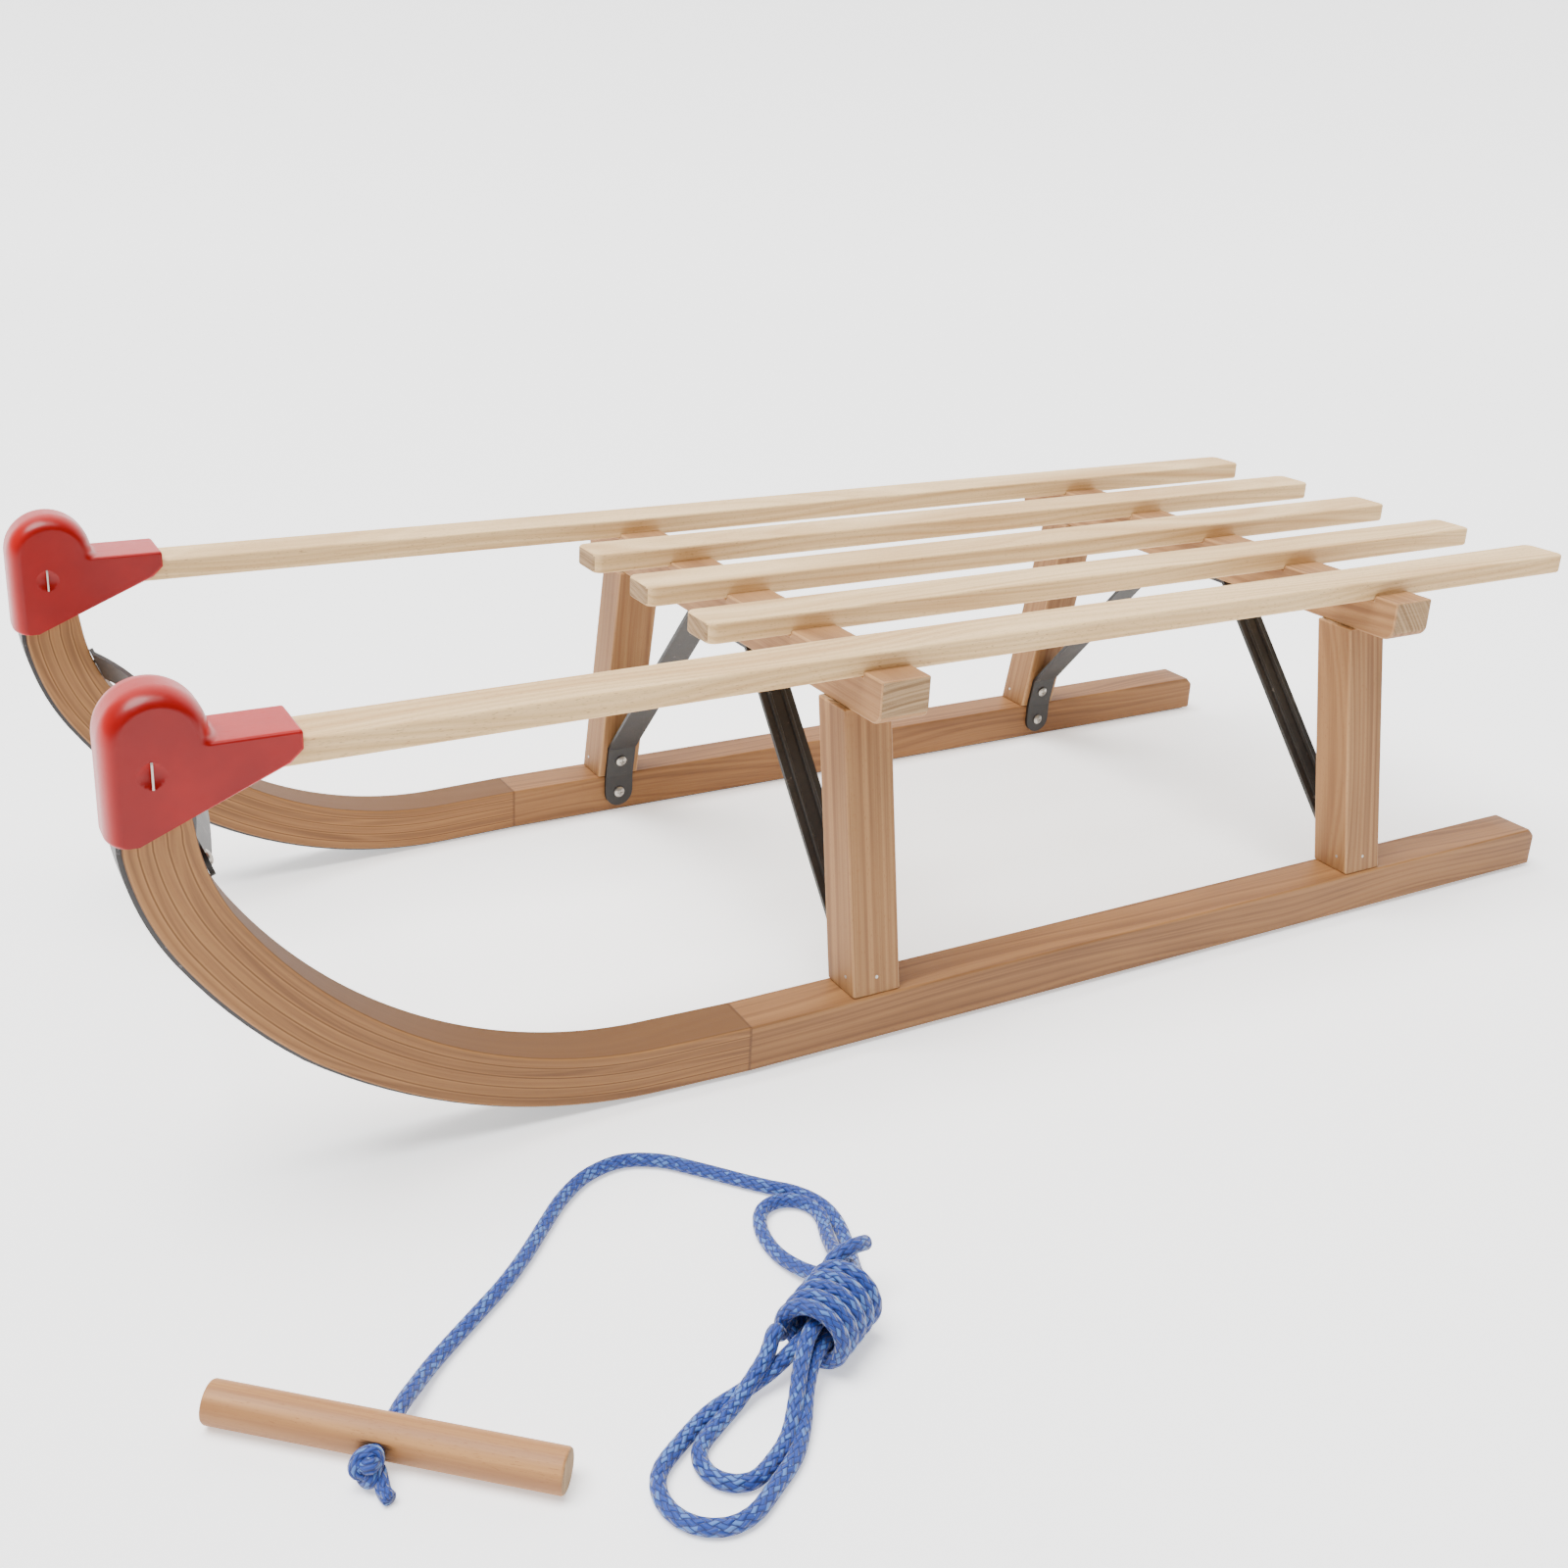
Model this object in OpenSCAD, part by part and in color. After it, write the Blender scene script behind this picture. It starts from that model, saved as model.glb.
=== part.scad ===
// Wooden toboggan: two bentwood runners, two cross beams on splayed posts, five slats,
// steel stays and a front tie, plastic horn caps, and a loose pull rope with a dowel grip.
// +X is the way it travels, +Y is its left, and the ground is z = 0. Millimetres and degrees.

/* [Seat] */
// Height of the top of the slats above the ground
seat_h = 233; // [200:1:280]
// Length of the three short slats
seat_l = 642; // [480:1:800]
// How far the seat's middle lies behind the origin
seat_back = 173; // [150:1:200]
// Width of a slat
slat_w = 31; // [22:1:38]
// Thickness of a slat
slat_t = 13; // [9:0.5:18]
// Distance from one slat's middle to the next
slat_pitch = 78; // [60:1:95]
// Radius of a slat's corners, seen from above
slat_corner_r = 6; // [2:0.5:9]

/* [Runners] */
// Width of a runner
runner_w = 30; // [24:1:38]
// Height of a runner's wood
runner_h = 28; // [22:1:36]
// Distance from the middle of the sled to a runner's outer face
runner_out = 192; // [165:1:230]
// Place of a runner's rear end
runner_rear_x = -495.5; // [-600:0.5:-440]
// Where the sawn and glued bend starts
bend_x = 165; // [120:1:200]
// Straight length between the start of the glue lines and the first bend
bend_lead = 54; // [20:1:100]
// Outer radius of the long bend
bend_r1 = 289; // [230:1:340]
// Angle of the long bend
bend_a1 = 57; // [45:1:65]
// Outer radius of the short bend below the horn
bend_r2 = 140; // [100:1:180]
// Angle of the short bend
bend_a2 = 25; // [15:1:32]
// How far the bend's outer side grows outward, up to the horn
bend_spread = 5; // [0:0.5:7]
// Angle of the bend at which it has all of that growth
spread_a = 40; // [20:1:57]
// How far the horn's straight ends below the seat's top
horn_drop = 9; // [4:0.5:14]
// How far each horn leans in towards the slats
horn_in = 15; // [5:1:22]
// Thickness of the steel shoe under a runner
shoe_t = 2; // [1:0.5:3]
// Width of the steel shoe
shoe_w = 22; // [12:1:26]

/* [Benches] */
// Place of the front bench along the sled
front_x = 78; // [40:1:110]
// Place of the rear bench along the sled
rear_x = -320; // [-380:1:-260]
// Width of a beam along the sled
beam_w = 32; // [26:1:40]
// Height of a beam
beam_h = 26; // [20:1:34]
// Distance from the middle of the sled to a beam's end
beam_out = 191; // [176:1:220]
// How deep the slats are let into a beam
notch = 3; // [1:0.5:5]
// Radius of a beam's lower corners
beam_r = 8; // [3:1:18]
// Thickness of a post along the sled
post_x = 32; // [24:1:36]
// How far the posts and stays stand ahead of their beam's middle
post_ahead = 3; // [-4:1:4]
// Distance from a post's outer face to the runner's outer face
post_inset = 1.8; // [0.5:0.1:4]
// Distance from the middle of the sled to a post's outer face, under the beam
post_top_out = 160; // [140:1:168]
// Diameter of the tenon at each end of a post
tenon_d = 14; // [10:1:18]
// Length of a tenon
tenon_l = 15; // [8:1:17]

/* [Metal] */
// Width of a stay
stay_w = 22; // [16:1:26]
// Thickness of a stay's sheet
stay_t = 2.5; // [1.5:0.5:4]
// Height of a stay's bend above the ground
stay_bend_z = 54; // [46:1:80]
// Distance from the middle of the sled to the top bend of a stay
stay_top_y = 38; // [32:1:60]
// Length of the flat tab under the beam
stay_tab = 26; // [18:1:30]
// Width of the front tie
tie_w = 18; // [16:1:28]
// Thickness of the front tie
tie_t = 2.5; // [2:0.5:4]
// How far the front tie bows to the rear
tie_bow = 18; // [6:1:25]
// Diameter of a screw's shank
screw_d = 4; // [3:0.5:5]
// Diameter of a screw's head
screw_head_d = 8; // [7:0.5:9]

/* [Caps] */
// Radius of a cap's round head
cap_r = 24.4; // [23:0.2:34]
// Wall of a cap
cap_wall = 3; // [2:0.5:4]
// Length of the sleeve from the middle of the head
cap_sleeve_l = 64; // [50:1:90]
// How far the head's rim falls towards a cap's side faces
cap_rim_r = 7.5; // [2:0.5:9]
// Width of the rounded rim beside each side face
cap_rim_w = 14; // [4:0.5:15]
// Thickness of the sleeve over the slat
cap_roof = 5.6; // [2:0.2:7]
// Height of the head's middle above the tip of the horn's straight
cap_rise = 16.6; // [12:0.1:18]
// Distance from the horn's outer side at its tip to the head's middle
cap_back = 20.3; // [16:0.1:22]
// How far a cap's tip reaches below the middle of its head
cap_skirt = 46.6; // [38:0.1:52]

/* [Rope] */
// Diameter of the rope
rope_d = 7; // [6:0.5:7.5]
// Length of the dowel grip
grip_l = 152; // [110:1:200]
// Diameter of the dowel grip
grip_d = 18; // [16:0.5:19]

/* [Fits] */
// Gap round a tenon, on each side
tenon_gap = 0.1; // [0.05:0.05:0.3]
// Gap round a screw's shank, on each side
screw_gap = 0.05; // [0.05:0.05:0.2]
// Gap between a slat and the side of its notch
notch_gap = 0.2; // [0.1:0.1:0.5]
// Gap between a cap and the wood inside it
cap_gap = 0.3; // [0.2:0.1:0.8]
// Gap between parts that meet without a fit
seat_gap = 0.1; // [0.05:0.05:0.3]
// Gap round the rope in the grip's bore, on each side
rope_gap = 0.4; // [0.3:0.1:0.5]

/* [Hidden] */
$fn = 64;

beech_pale = "#ecd2a2";
beech_tan = "#cf9f70";
cap_red = "#d9141a";
steel_black = "#1c1714";
zinc = "#b9bcc0";
rope_blue = "#1f4aa8";

// Heights of the benches
slat_z = seat_h - slat_t;
beam_top = slat_z + notch;
beam_z = beam_top - beam_h;
runner_top = shoe_t + runner_h;

// Posts
post_foot_out = runner_out - post_inset;
post_foot_in = runner_out - runner_w;
post_foot_w = post_foot_out - post_foot_in;
post_rise = beam_z - runner_top;
splay = atan((post_foot_out - post_top_out) / post_rise);

// Slats
slat_rear_x = -seat_back - seat_l / 2;
slat_front_x = -seat_back + seat_l / 2;
outer_slat_y = 2 * slat_pitch;
splay_x = front_x + beam_w / 2;

// Bend of the runner, measured on the shoe's outer face before it leans in
bend_mid = [bend_lead + bend_r1 * sin(bend_a1), bend_r1 * (1 - cos(bend_a1))];
bend_end = bend_mid + bend_r2 * [sin(bend_a1 + bend_a2) - sin(bend_a1),
    cos(bend_a1) - cos(bend_a1 + bend_a2)];
horn_a = bend_a1 + bend_a2;
horn_l = (seat_h - horn_drop - bend_end[1]) / sin(horn_a);
horn_tip = bend_end + horn_l * [cos(horn_a), sin(horn_a)];
toe = atan(horn_in / bend_end[0]);
horn_y = runner_out - horn_in - runner_w / 2;

// Where the horn's rear face crosses the slats, and where the slat ends
horn_rear_x = bend_x + bend_end[0] - runner_top * sin(horn_a)
    + (slat_z - bend_end[1] - runner_top * cos(horn_a)) / tan(horn_a);
outer_slat_front_x = horn_rear_x - 2.2;
slat_splay = atan((horn_y - outer_slat_y) / (outer_slat_front_x - splay_x));

// Caps
cap_w = max(runner_w, slat_w) + 2 * cap_wall;
cap_x = bend_x + horn_tip[0] - cap_back;
cap_z = horn_tip[1] + cap_rise;
cap_tip_z = cap_z - cap_skirt;

// Stays, in the plane of a bench: distance from the sled's middle, height
stay_run = post_foot_in - stay_t / 2 - seat_gap;
stay_path = [[stay_run, shoe_t + 4], [stay_run, runner_top],
    [stay_run - (stay_bend_z - runner_top) * tan(splay), stay_bend_z],
    [stay_top_y, beam_z - stay_t / 2 - seat_gap],
    [stay_top_y - stay_tab, beam_z - stay_t / 2 - seat_gap]];
stay_low_screw_z = shoe_t + 4 + stay_w / 2;
stay_high_screw_z = stay_bend_z - 11;
stay_tab_screw_y = stay_top_y - stay_tab + stay_w / 2;
screw_head_h = 2.4;
stay_screw_l = 18;

// Front tie, on the horns' rear faces, along the short bend
tie_a = bend_a1 + bend_a2 / 2;
tie_at = bend_mid + bend_r2 * [sin(tie_a) - sin(bend_a1), cos(bend_a1) - cos(tie_a)];
tie_span = 2 * (horn_y - runner_w / 2 - 2);
tie_tab = runner_w - 14;
tie_r = (tie_span * tie_span / 4 + tie_bow * tie_bow) / (2 * tie_bow);

// Screws under the slats and the shoes
slat_screw_y = [-outer_slat_y - 8, -slat_pitch, 0, slat_pitch, outer_slat_y + 8];
shoe_screw_x = [runner_rear_x + 20, (rear_x + front_x) / 2 - 60, (rear_x + front_x) / 2 + 60,
    bend_x - 30];
horn_screw_l = 52;
nail_d = 2;

// Rope: the grip's middle, the direction of its bore, and the route on the ground
grip_mid = [431, 367];
bore_a = 50.3;
route = [[437, 374.2, 9], [431, 367, 9], [424.6, 359.3, 9], [418, 351.5, 8], [410, 343, 6],
    [401, 334, 4.3], [390, 325, 3.6], [372, 312, 3.6], [353, 298, 3.6], [336, 283, 3.6],
    [320, 267, 3.6], [304, 252, 3.6], [286, 241, 3.6], [266, 238, 3.6], [248, 246, 3.6],
    [234, 260, 3.6], [216.3, 279.7, 3.6]];
knot_r = 8.2;
rope_sides = 10;
ring_step = 0.4;

// Hank, seen from above: upper lobe, wrapped middle and lower lobe
wrap_mid = [238, 392];
wrap_a = 30;
wrap_l = 42;
wrap_w = 36;
lower_l = 122;
lower_w = 50;
upper_end = [200, 296];
upper_w = 46;
lobe_h = 15;

// Unit vectors along and across a flat run, and the mitred offset of a bent line's corner
function unit(v) = v / norm(v);
function across(v) = [-v[1], v[0]] / norm(v);
function corner(path, i, off) = let (last = len(path) - 1,
    a = across(path[max(i, 1)] - path[max(i, 1) - 1]),
    b = across(path[min(i, last - 1) + 1] - path[min(i, last - 1)]))
    path[i] + off * (a + b) / (1 + a * b);

// One flat strip, bent along a line of [y, z] points and w wide along the sled
module bent_strip(path, w, t) {
    last = len(path) - 1;
    rotate([90, 0, 90]) translate([0, 0, -w / 2]) linear_extrude(w)
        polygon(concat([for (i = [0 : last]) corner(path, i, t / 2)],
            [for (i = [last : -1 : 0]) corner(path, i, -t / 2)]));
}

// Plate with round ends between two points, seen from above
module stadium(from, to, w, t) {
    turn = atan2(to[1] - from[1], to[0] - from[0]);
    linear_extrude(t) polygon(concat(
        [for (a = [-90 : 10 : 90]) to + w / 2 * [cos(turn + a), sin(turn + a)]],
        [for (a = [90 : 10 : 270]) from + w / 2 * [cos(turn + a), sin(turn + a)]]));
}

// Rectangle with round corners, seen from above, from [x0, y0] to [x1, y1]
module round_plate(x0, x1, w, r, t) {
    translate([x0 + r, -w / 2, 0]) cube([x1 - x0 - 2 * r, w, t]);
    translate([x0, -w / 2 + r, 0]) cube([x1 - x0, w - 2 * r, t]);
    for (x = [x0 + r, x1 - r], y = [-w / 2 + r, w / 2 - r])
        translate([x, y, 0]) cylinder(r = r, h = t);
}

// Point off above the runner's driving line, where that line heads up at angle a
function arc_point(a, off) = (a <= bend_a1)
    ? [bend_lead, bend_r1] + (bend_r1 - off) * [sin(a), -cos(a)]
    : bend_mid + bend_r2 * across([cos(bend_a1), sin(bend_a1)])
        + (bend_r2 - off) * [sin(a), -cos(a)];

// Height off of a glue line after the share of the bend's growth that it has taken
function grown(off, share) = off - bend_spread * share * (1 - off / runner_top);
function bend_point(a, off) = arc_point(a, grown(off, pow(min(a / spread_a, 1), 2)));
bend_angles = concat([for (i = [0 : 24]) bend_a1 * i / 24],
    [for (i = [1 : 10]) bend_a1 + bend_a2 * i / 10]);
function bend_line(off, tip) = concat([for (a = bend_angles) bend_point(a, off)],
    [horn_point(off, tip)]);
function horn_point(off, tip) = arc_point(horn_a, grown(off, 1 - tip / horn_l))
    + tip * [cos(horn_a), sin(horn_a)];
function backwards(list) = [for (i = [len(list) - 1 : -1 : 0]) list[i]];

// A runner or shoe, between heights z0 and z1 above the ground, inset from the runner's
// outer side and w wide: its side view cut to its plan, which leans in from bend_x on
module rail(z0, z1, inset, w, rear, tip, round_tip = false) {
    far = inset + w;
    reach = horn_tip[0] + cap_r;
    lean = reach * tan(toe);
    mid = horn_point((z0 + z1) / 2, tip);
    end_arc = [for (b = [-75 : 15 : 75]) if (round_tip)
        mid + (z1 - z0) / 2 * [cos(horn_a + b), sin(horn_a + b)]];
    intersection() {
        translate([bend_x, runner_out + 1, 0]) rotate([90, 0, 0]) linear_extrude(runner_out)
            polygon(concat([[rear - bend_x, z1], [rear - bend_x, z0]], bend_line(z0, tip),
                end_arc, backwards(bend_line(z1, tip))));
        translate([bend_x, runner_out, -1]) linear_extrude(2 * seat_h) polygon([
            [rear - bend_x - 1, -far], [-far * tan(toe / 2), -far],
            [reach, -lean - far / cos(toe)], [reach, -lean - inset / cos(toe)],
            [-inset * tan(toe / 2), -inset], [rear - bend_x - 1, -inset]]);
    }
}

module on_right() {
    mirror([0, 1, 0]) children();
}

// Frame of the horn's tip, with +X up the horn and +Z towards the rear
module at_horn() {
    translate([bend_x + bend_end[0], horn_y, bend_end[1]]) rotate([0, -horn_a, 0]) children();
}

// Post's sloping axis, from the foot, on the left side
module at_post(x) {
    translate([x + post_ahead, (post_foot_out + post_foot_in) / 2, runner_top])
        rotate([splay, 0, 0]) children();
}

module tenon_pair(gap) {
    deep = (gap > 0) ? 1 : 0;
    long = post_rise / cos(splay);
    translate([0, 0, -tenon_l - deep])
        cylinder(d = tenon_d + 2 * gap, h = long + 2 * (tenon_l + deep));
}

// Countersunk screw along +Z, its flat head at z = 0; extra widens it all round
module sunk_screw(length, extra) {
    head = (screw_head_d - screw_d) / 2;
    translate([0, 0, -extra]) cylinder(d = screw_head_d + 2 * extra, h = 0.4 + extra);
    translate([0, 0, 0.4])
        cylinder(d1 = screw_head_d + 2 * extra, d2 = screw_d + 2 * extra, h = head);
    cylinder(d = screw_d + 2 * extra, h = length + extra);
}

// Pan-head screw along +Z, its head below z = 0; extra widens the shank's hole
module pan_screw(length, extra) {
    if (extra > 0) cylinder(d = screw_d + 2 * extra, h = length + 1);
    else {
        cylinder(d = screw_d, h = length);
        translate([0, 0, -screw_head_h]) difference() {
            intersection() {
                cylinder(d = screw_head_d, h = screw_head_h);
                translate([0, 0, screw_head_d * 0.8]) sphere(d = screw_head_d * 1.6);
            }
            for (a = [0, 90]) rotate([0, 0, a])
                translate([-2, -0.5, -1]) cube([4, 1, 2]);
        }
    }
}

module stay_screw_set(x, extra) {
    face = stay_run - stay_t / 2;
    mid = x + post_ahead;
    translate([mid, face, stay_low_screw_z]) rotate([-90, 0, 0]) pan_screw(stay_screw_l, extra);
    translate([mid, stay_run - (stay_high_screw_z - runner_top) * tan(splay)
        - stay_t / 2 / cos(splay), stay_high_screw_z])
        rotate([splay - 90, 0, 0]) pan_screw(stay_screw_l, extra);
    translate([mid, stay_tab_screw_y, beam_z - stay_t - seat_gap])
        pan_screw(stay_screw_l, extra);
}

module at_tie() {
    translate([bend_x + tie_at[0], tie_span / 2 + tie_tab - tie_w / 2, tie_at[1]])
        rotate([0, -tie_a, 0])
            translate([0, 0, runner_top + seat_gap + tie_offset + tie_t]) children();
}

module tie_screw(extra) {
    at_tie() rotate([180, 0, 0]) pan_screw(stay_screw_l, extra);
}

module horn_screw(extra) {
    at_horn() translate([slat_mid_up, 0, shoe_t])
        sunk_screw(horn_screw_l, extra);
}

// How far up the horn the slat's middle line meets it
slat_mid_up = (slat_z + slat_t / 2 - bend_end[1]) / sin(horn_a) - 4;

module nail_set(x, gap) {
    at_post(x) {
        translate([0, post_foot_w / 2 * cos(splay) + 0.2, 8]) rotate([90, 0, 0])
            cylinder(d = nail_d + 2 * gap, h = 6 + gap);
        translate([post_x / 2 + 0.2, 6, 9]) rotate([0, -90, 0])
            cylinder(d = nail_d + 2 * gap, h = 6 + gap);
    }
}

module runner() {
    color(beech_tan) difference() {
        rail(shoe_t, runner_top, 0, runner_w, runner_rear_x, horn_l, round_tip = true);
        for (x = [front_x, rear_x]) {
            at_post(x) tenon_pair(tenon_gap);
            stay_screw_set(x, screw_gap);
        }
        for (x = shoe_screw_x)
            translate([x, runner_out - runner_w / 2, 0.2]) sunk_screw(20, screw_gap);
        tie_screw(screw_gap);
        horn_screw(screw_gap);
        staple_set(2 * screw_gap);
        translate([runner_rear_x, runner_out - runner_w - 1, runner_top]) rotate([0, 45, 0])
            translate([-4, 0, -4]) cube([8, runner_w + 2, 8]);
    }
}

module shoe() {
    side = (runner_w - shoe_w) / 2;
    color(steel_black) difference() {
        rail(0, shoe_t - 0.05, side, shoe_w, runner_rear_x + 4, 12);
        for (x = shoe_screw_x)
            translate([x, runner_out - runner_w / 2, 0.2]) sunk_screw(20, screw_gap);
    }
}

module beam(x) {
    color(beech_tan) difference() {
        translate([x - beam_w / 2, -beam_out, beam_z]) cube([beam_w, 2 * beam_out, beam_h]);
        for (m = [0, 1]) mirror([0, m, 0]) {
            translate([x - beam_w / 2 - 1, beam_out - beam_r, beam_z]) difference() {
                translate([0, 0, -1]) cube([beam_w + 2, beam_r + 1, beam_r + 1]);
                translate([-1, 0, beam_r]) rotate([0, 90, 0])
                    cylinder(r = beam_r, h = beam_w + 4);
            }
            at_post(x) tenon_pair(tenon_gap);
            stay_screw_set(x, screw_gap);
        }
        for (i = [-2 : 2])
            translate([x - beam_w / 2 - 1, i * slat_pitch - slat_w / 2 - notch_gap, slat_z])
                cube([beam_w + 2, slat_w + 2 * notch_gap, notch + 1]);
        for (y = slat_screw_y)
            translate([x, y, beam_z + 0.2]) sunk_screw(beam_h + slat_t / 2, screw_gap);
    }
}

module post(x) {
    depth = post_foot_w * cos(splay);
    color(beech_tan) difference() {
        union() {
            intersection() {
                at_post(x) translate([-post_x / 2, -depth / 2, -20])
                    cube([post_x, depth, post_rise / cos(splay) + 40]);
                translate([x - post_x, 0, runner_top + seat_gap / 2])
                    cube([2 * post_x, 2 * runner_out, post_rise - seat_gap]);
            }
            at_post(x) tenon_pair(0);
        }
        stay_screw_set(x, screw_gap);
        nail_set(x, screw_gap);
    }
}

module slat_screw_holes() {
    for (x = [front_x, rear_x], y = slat_screw_y)
        translate([x, y, beam_z + 0.2]) sunk_screw(beam_h + slat_t / 2, screw_gap);
}

module short_slat(row) {
    color(beech_pale) difference() {
        translate([0, row * slat_pitch, slat_z])
            round_plate(slat_rear_x, slat_front_x, slat_w, slat_corner_r, slat_t);
        slat_screw_holes();
    }
}

module long_slat() {
    front = (outer_slat_front_x - splay_x) / cos(slat_splay);
    ahead = [cos(slat_splay), sin(slat_splay)];
    side = [-sin(slat_splay), cos(slat_splay)];
    color(beech_pale) difference() {
        union() {
            translate([0, outer_slat_y, slat_z])
                round_plate(slat_rear_x, splay_x - 2 * slat_w, slat_w, slat_corner_r, slat_t);
            translate([splay_x, outer_slat_y, slat_z]) linear_extrude(slat_t) polygon([
                [-3 * slat_w, -slat_w / 2], slat_w / 2 * [tan(slat_splay / 2), -1],
                front * ahead - slat_w / 2 * side, front * ahead + slat_w / 2 * side,
                slat_w / 2 * [-tan(slat_splay / 2), 1], [-3 * slat_w, slat_w / 2]]);
        }
        slat_screw_holes();
        horn_screw(screw_gap);
    }
}

module stay(x) {
    side = stay_w / 2;
    low = stay_path[0][1];
    color(steel_black) difference() {
        translate([x + post_ahead, 0, 0]) {
            intersection() {
                bent_strip(stay_path, stay_w + 2, stay_t);
                translate([0, stay_run + 10, 0]) rotate([90, 0, 0])
                    stadium([0, low + side], [0, seat_h + side], stay_w, stay_run + 20);
            }
            stay_ribs();
        }
        stay_screw_set(x, screw_gap);
    }
}

// Two ribs pressed into the sloping part of a stay
module stay_ribs() {
    foot = stay_path[2];
    head = stay_path[3];
    run = head - foot;
    for (rib_x = [-5, 5])
        translate([rib_x, foot[0], foot[1]]) rotate([atan2(run[1], run[0]), 0, 0])
            translate([0, 12, -stay_t / 2]) rotate([-90, 0, 0]) cylinder(d = 3, h = norm(run) - 24);
}

module tie() {
    half = tie_span / 2;
    color(steel_black) difference() {
        translate([bend_x + tie_at[0], 0, tie_at[1]]) rotate([0, -tie_a, 0])
            translate([-tie_w / 2, 0, runner_top + seat_gap + tie_offset]) {
                for (m = [0, 1]) mirror([0, m, 0]) {
                    translate([0, half, 0]) cube([tie_w, tie_tab - tie_w / 2, tie_t]);
                    translate([tie_w / 2, half + tie_tab - tie_w / 2, 0])
                        cylinder(d = tie_w, h = tie_t);
                }
                translate([0, 0, tie_bow + tie_t]) intersection() {
                    translate([0, 0, -tie_r]) rotate([0, 90, 0]) difference() {
                        cylinder(r = tie_r, h = tie_w, $fn = 360);
                        translate([0, 0, -1]) cylinder(r = tie_r - tie_t, h = tie_w + 2, $fn = 360);
                    }
                    translate([-1, -half, -tie_bow - tie_t]) cube([tie_w + 2, 2 * half, 2 * tie_bow]);
                }
            }
        for (m = [0, 1]) mirror([0, m, 0]) tie_screw(screw_gap);
    }
}

// The horns' rear faces are curved, which sets the flat tabs back by this much
tie_offset = tie_w * tie_w / 8 / (bend_r2 - runner_top);

module cap() {
    cavity_y = runner_out - (cap_x - bend_x) * tan(toe) - runner_w / 2 / cos(toe);
    inner_r = cap_r - cap_wall - 2 * cap_gap;
    low = cap_tip_z;
    end_x = -cap_sleeve_l;
    roof = slat_z + slat_t + cap_roof - cap_z;
    skirt = low - cap_z;
    color(cap_red) translate([cap_x, horn_y, cap_z]) difference() {
        union() {
            cap_head();
            rotate([90, 0, 0]) translate([0, 0, -cap_w / 2]) linear_extrude(cap_w)
                polygon([[cap_r - cap_rim_r - 6, skirt], [end_x + 6, slat_z + 3 - cap_z],
                    [end_x, slat_z + 9 - cap_z], [end_x, roof], [0, roof],
                    [cap_r - cap_rim_r, roof], [cap_r - cap_rim_r, skirt + 2]]);
        }
        translate([0, cavity_y - horn_y, 0]) rotate([90, 0, -toe])
            translate([0, 0, -runner_w / 2 - cap_gap]) linear_extrude(runner_w + 2 * cap_gap) {
                circle(r = inner_r);
                polygon([[inner_r, 0], [inner_r, skirt - 60], [-50, skirt - 60],
                    [-inner_r - 1, slat_z - 3 - cap_z], [-inner_r, 0]]);
            }
        sleeve_cut(end_x);
        translate([-cap_x, -horn_y, -cap_z]) staple_set(2 * screw_gap);
    }
}

// Room in a cap's sleeve for the slat, open below
module sleeve_cut(end_x) {
    reach = outer_slat_front_x - cap_x;
    translate([reach, 0, -80]) rotate([0, 0, slat_splay])
        translate([end_x - 20 - reach, -slat_w / 2 - cap_gap, 0])
            cube([40 - end_x + reach, slat_w + 2 * cap_gap, slat_z + slat_t + cap_gap - cap_z + 80]);
}

// Half of a head's section: its distance from the head's axis and from its middle plane
function rim(i) = [cap_r - cap_rim_r * (1 - cos(i)), cap_w / 2 - cap_rim_w * (1 - sin(i))];
head_section = concat([[0, -cap_w / 2]], [for (i = [90 : -15 : 0]) [rim(i)[0], -rim(i)[1]]],
    [for (i = [0 : 15 : 90]) rim(i)], [[0, cap_w / 2]]);

module cap_head() {
    apron = cap_skirt - 10;
    rotate([90, 0, 0]) rotate_extrude($fn = 120) polygon(head_section);
    translate([0, 0, -apron]) linear_extrude(apron) polygon(head_section);
}

// Wire staple that stands upright on both sides of a cap's head, its legs in the horn
module staple_set(extra) {
    leg = 12;
    wire = 1.2;
    high = 12;
    for (side = [-1, 1])
        translate([cap_x + 3.4, horn_y + side * (cap_w / 2 + 0.5), cap_z - 13.6 - high / 2])
            rotate([side * 90, 0, 0]) {
                for (z = [0, high]) translate([0, side * z, 0]) cylinder(d = wire + extra, h = leg);
                translate([0, (side - 1) * high / 2, 0]) rotate([-90, 0, 0])
                    cylinder(d = wire + extra, h = high);
            }
}

// Rope: a ring of points round each station of the route, joined into one tube
function curve_point(p0, p1, p2, p3, t) = 0.5 * (2 * p1 + (p2 - p0) * t
    + (2 * p0 - 5 * p1 + 4 * p2 - p3) * t * t + (3 * p1 - p0 - 3 * p2 + p3) * t * t * t);
function route_at(i) = route[max(0, min(len(route) - 1, i))];
centres = [for (i = [0 : len(route) - 2], t = [0 : ring_step : 0.8])
    curve_point(route_at(i - 1), route_at(i), route_at(i + 1), route_at(i + 2), t),
    route[len(route) - 1]];
function heading(i) = unit(centres[min(i + 1, len(centres) - 1)] - centres[max(i - 1, 0)]);
function ring(i) = let (ahead = heading(i), left = unit(cross([0, 0, 1], ahead)),
    up = cross(ahead, left)) [for (k = [0 : rope_sides - 1])
    centres[i] + rope_d / 2 * (cos(360 * k / rope_sides) * left + sin(360 * k / rope_sides) * up)];

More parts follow.
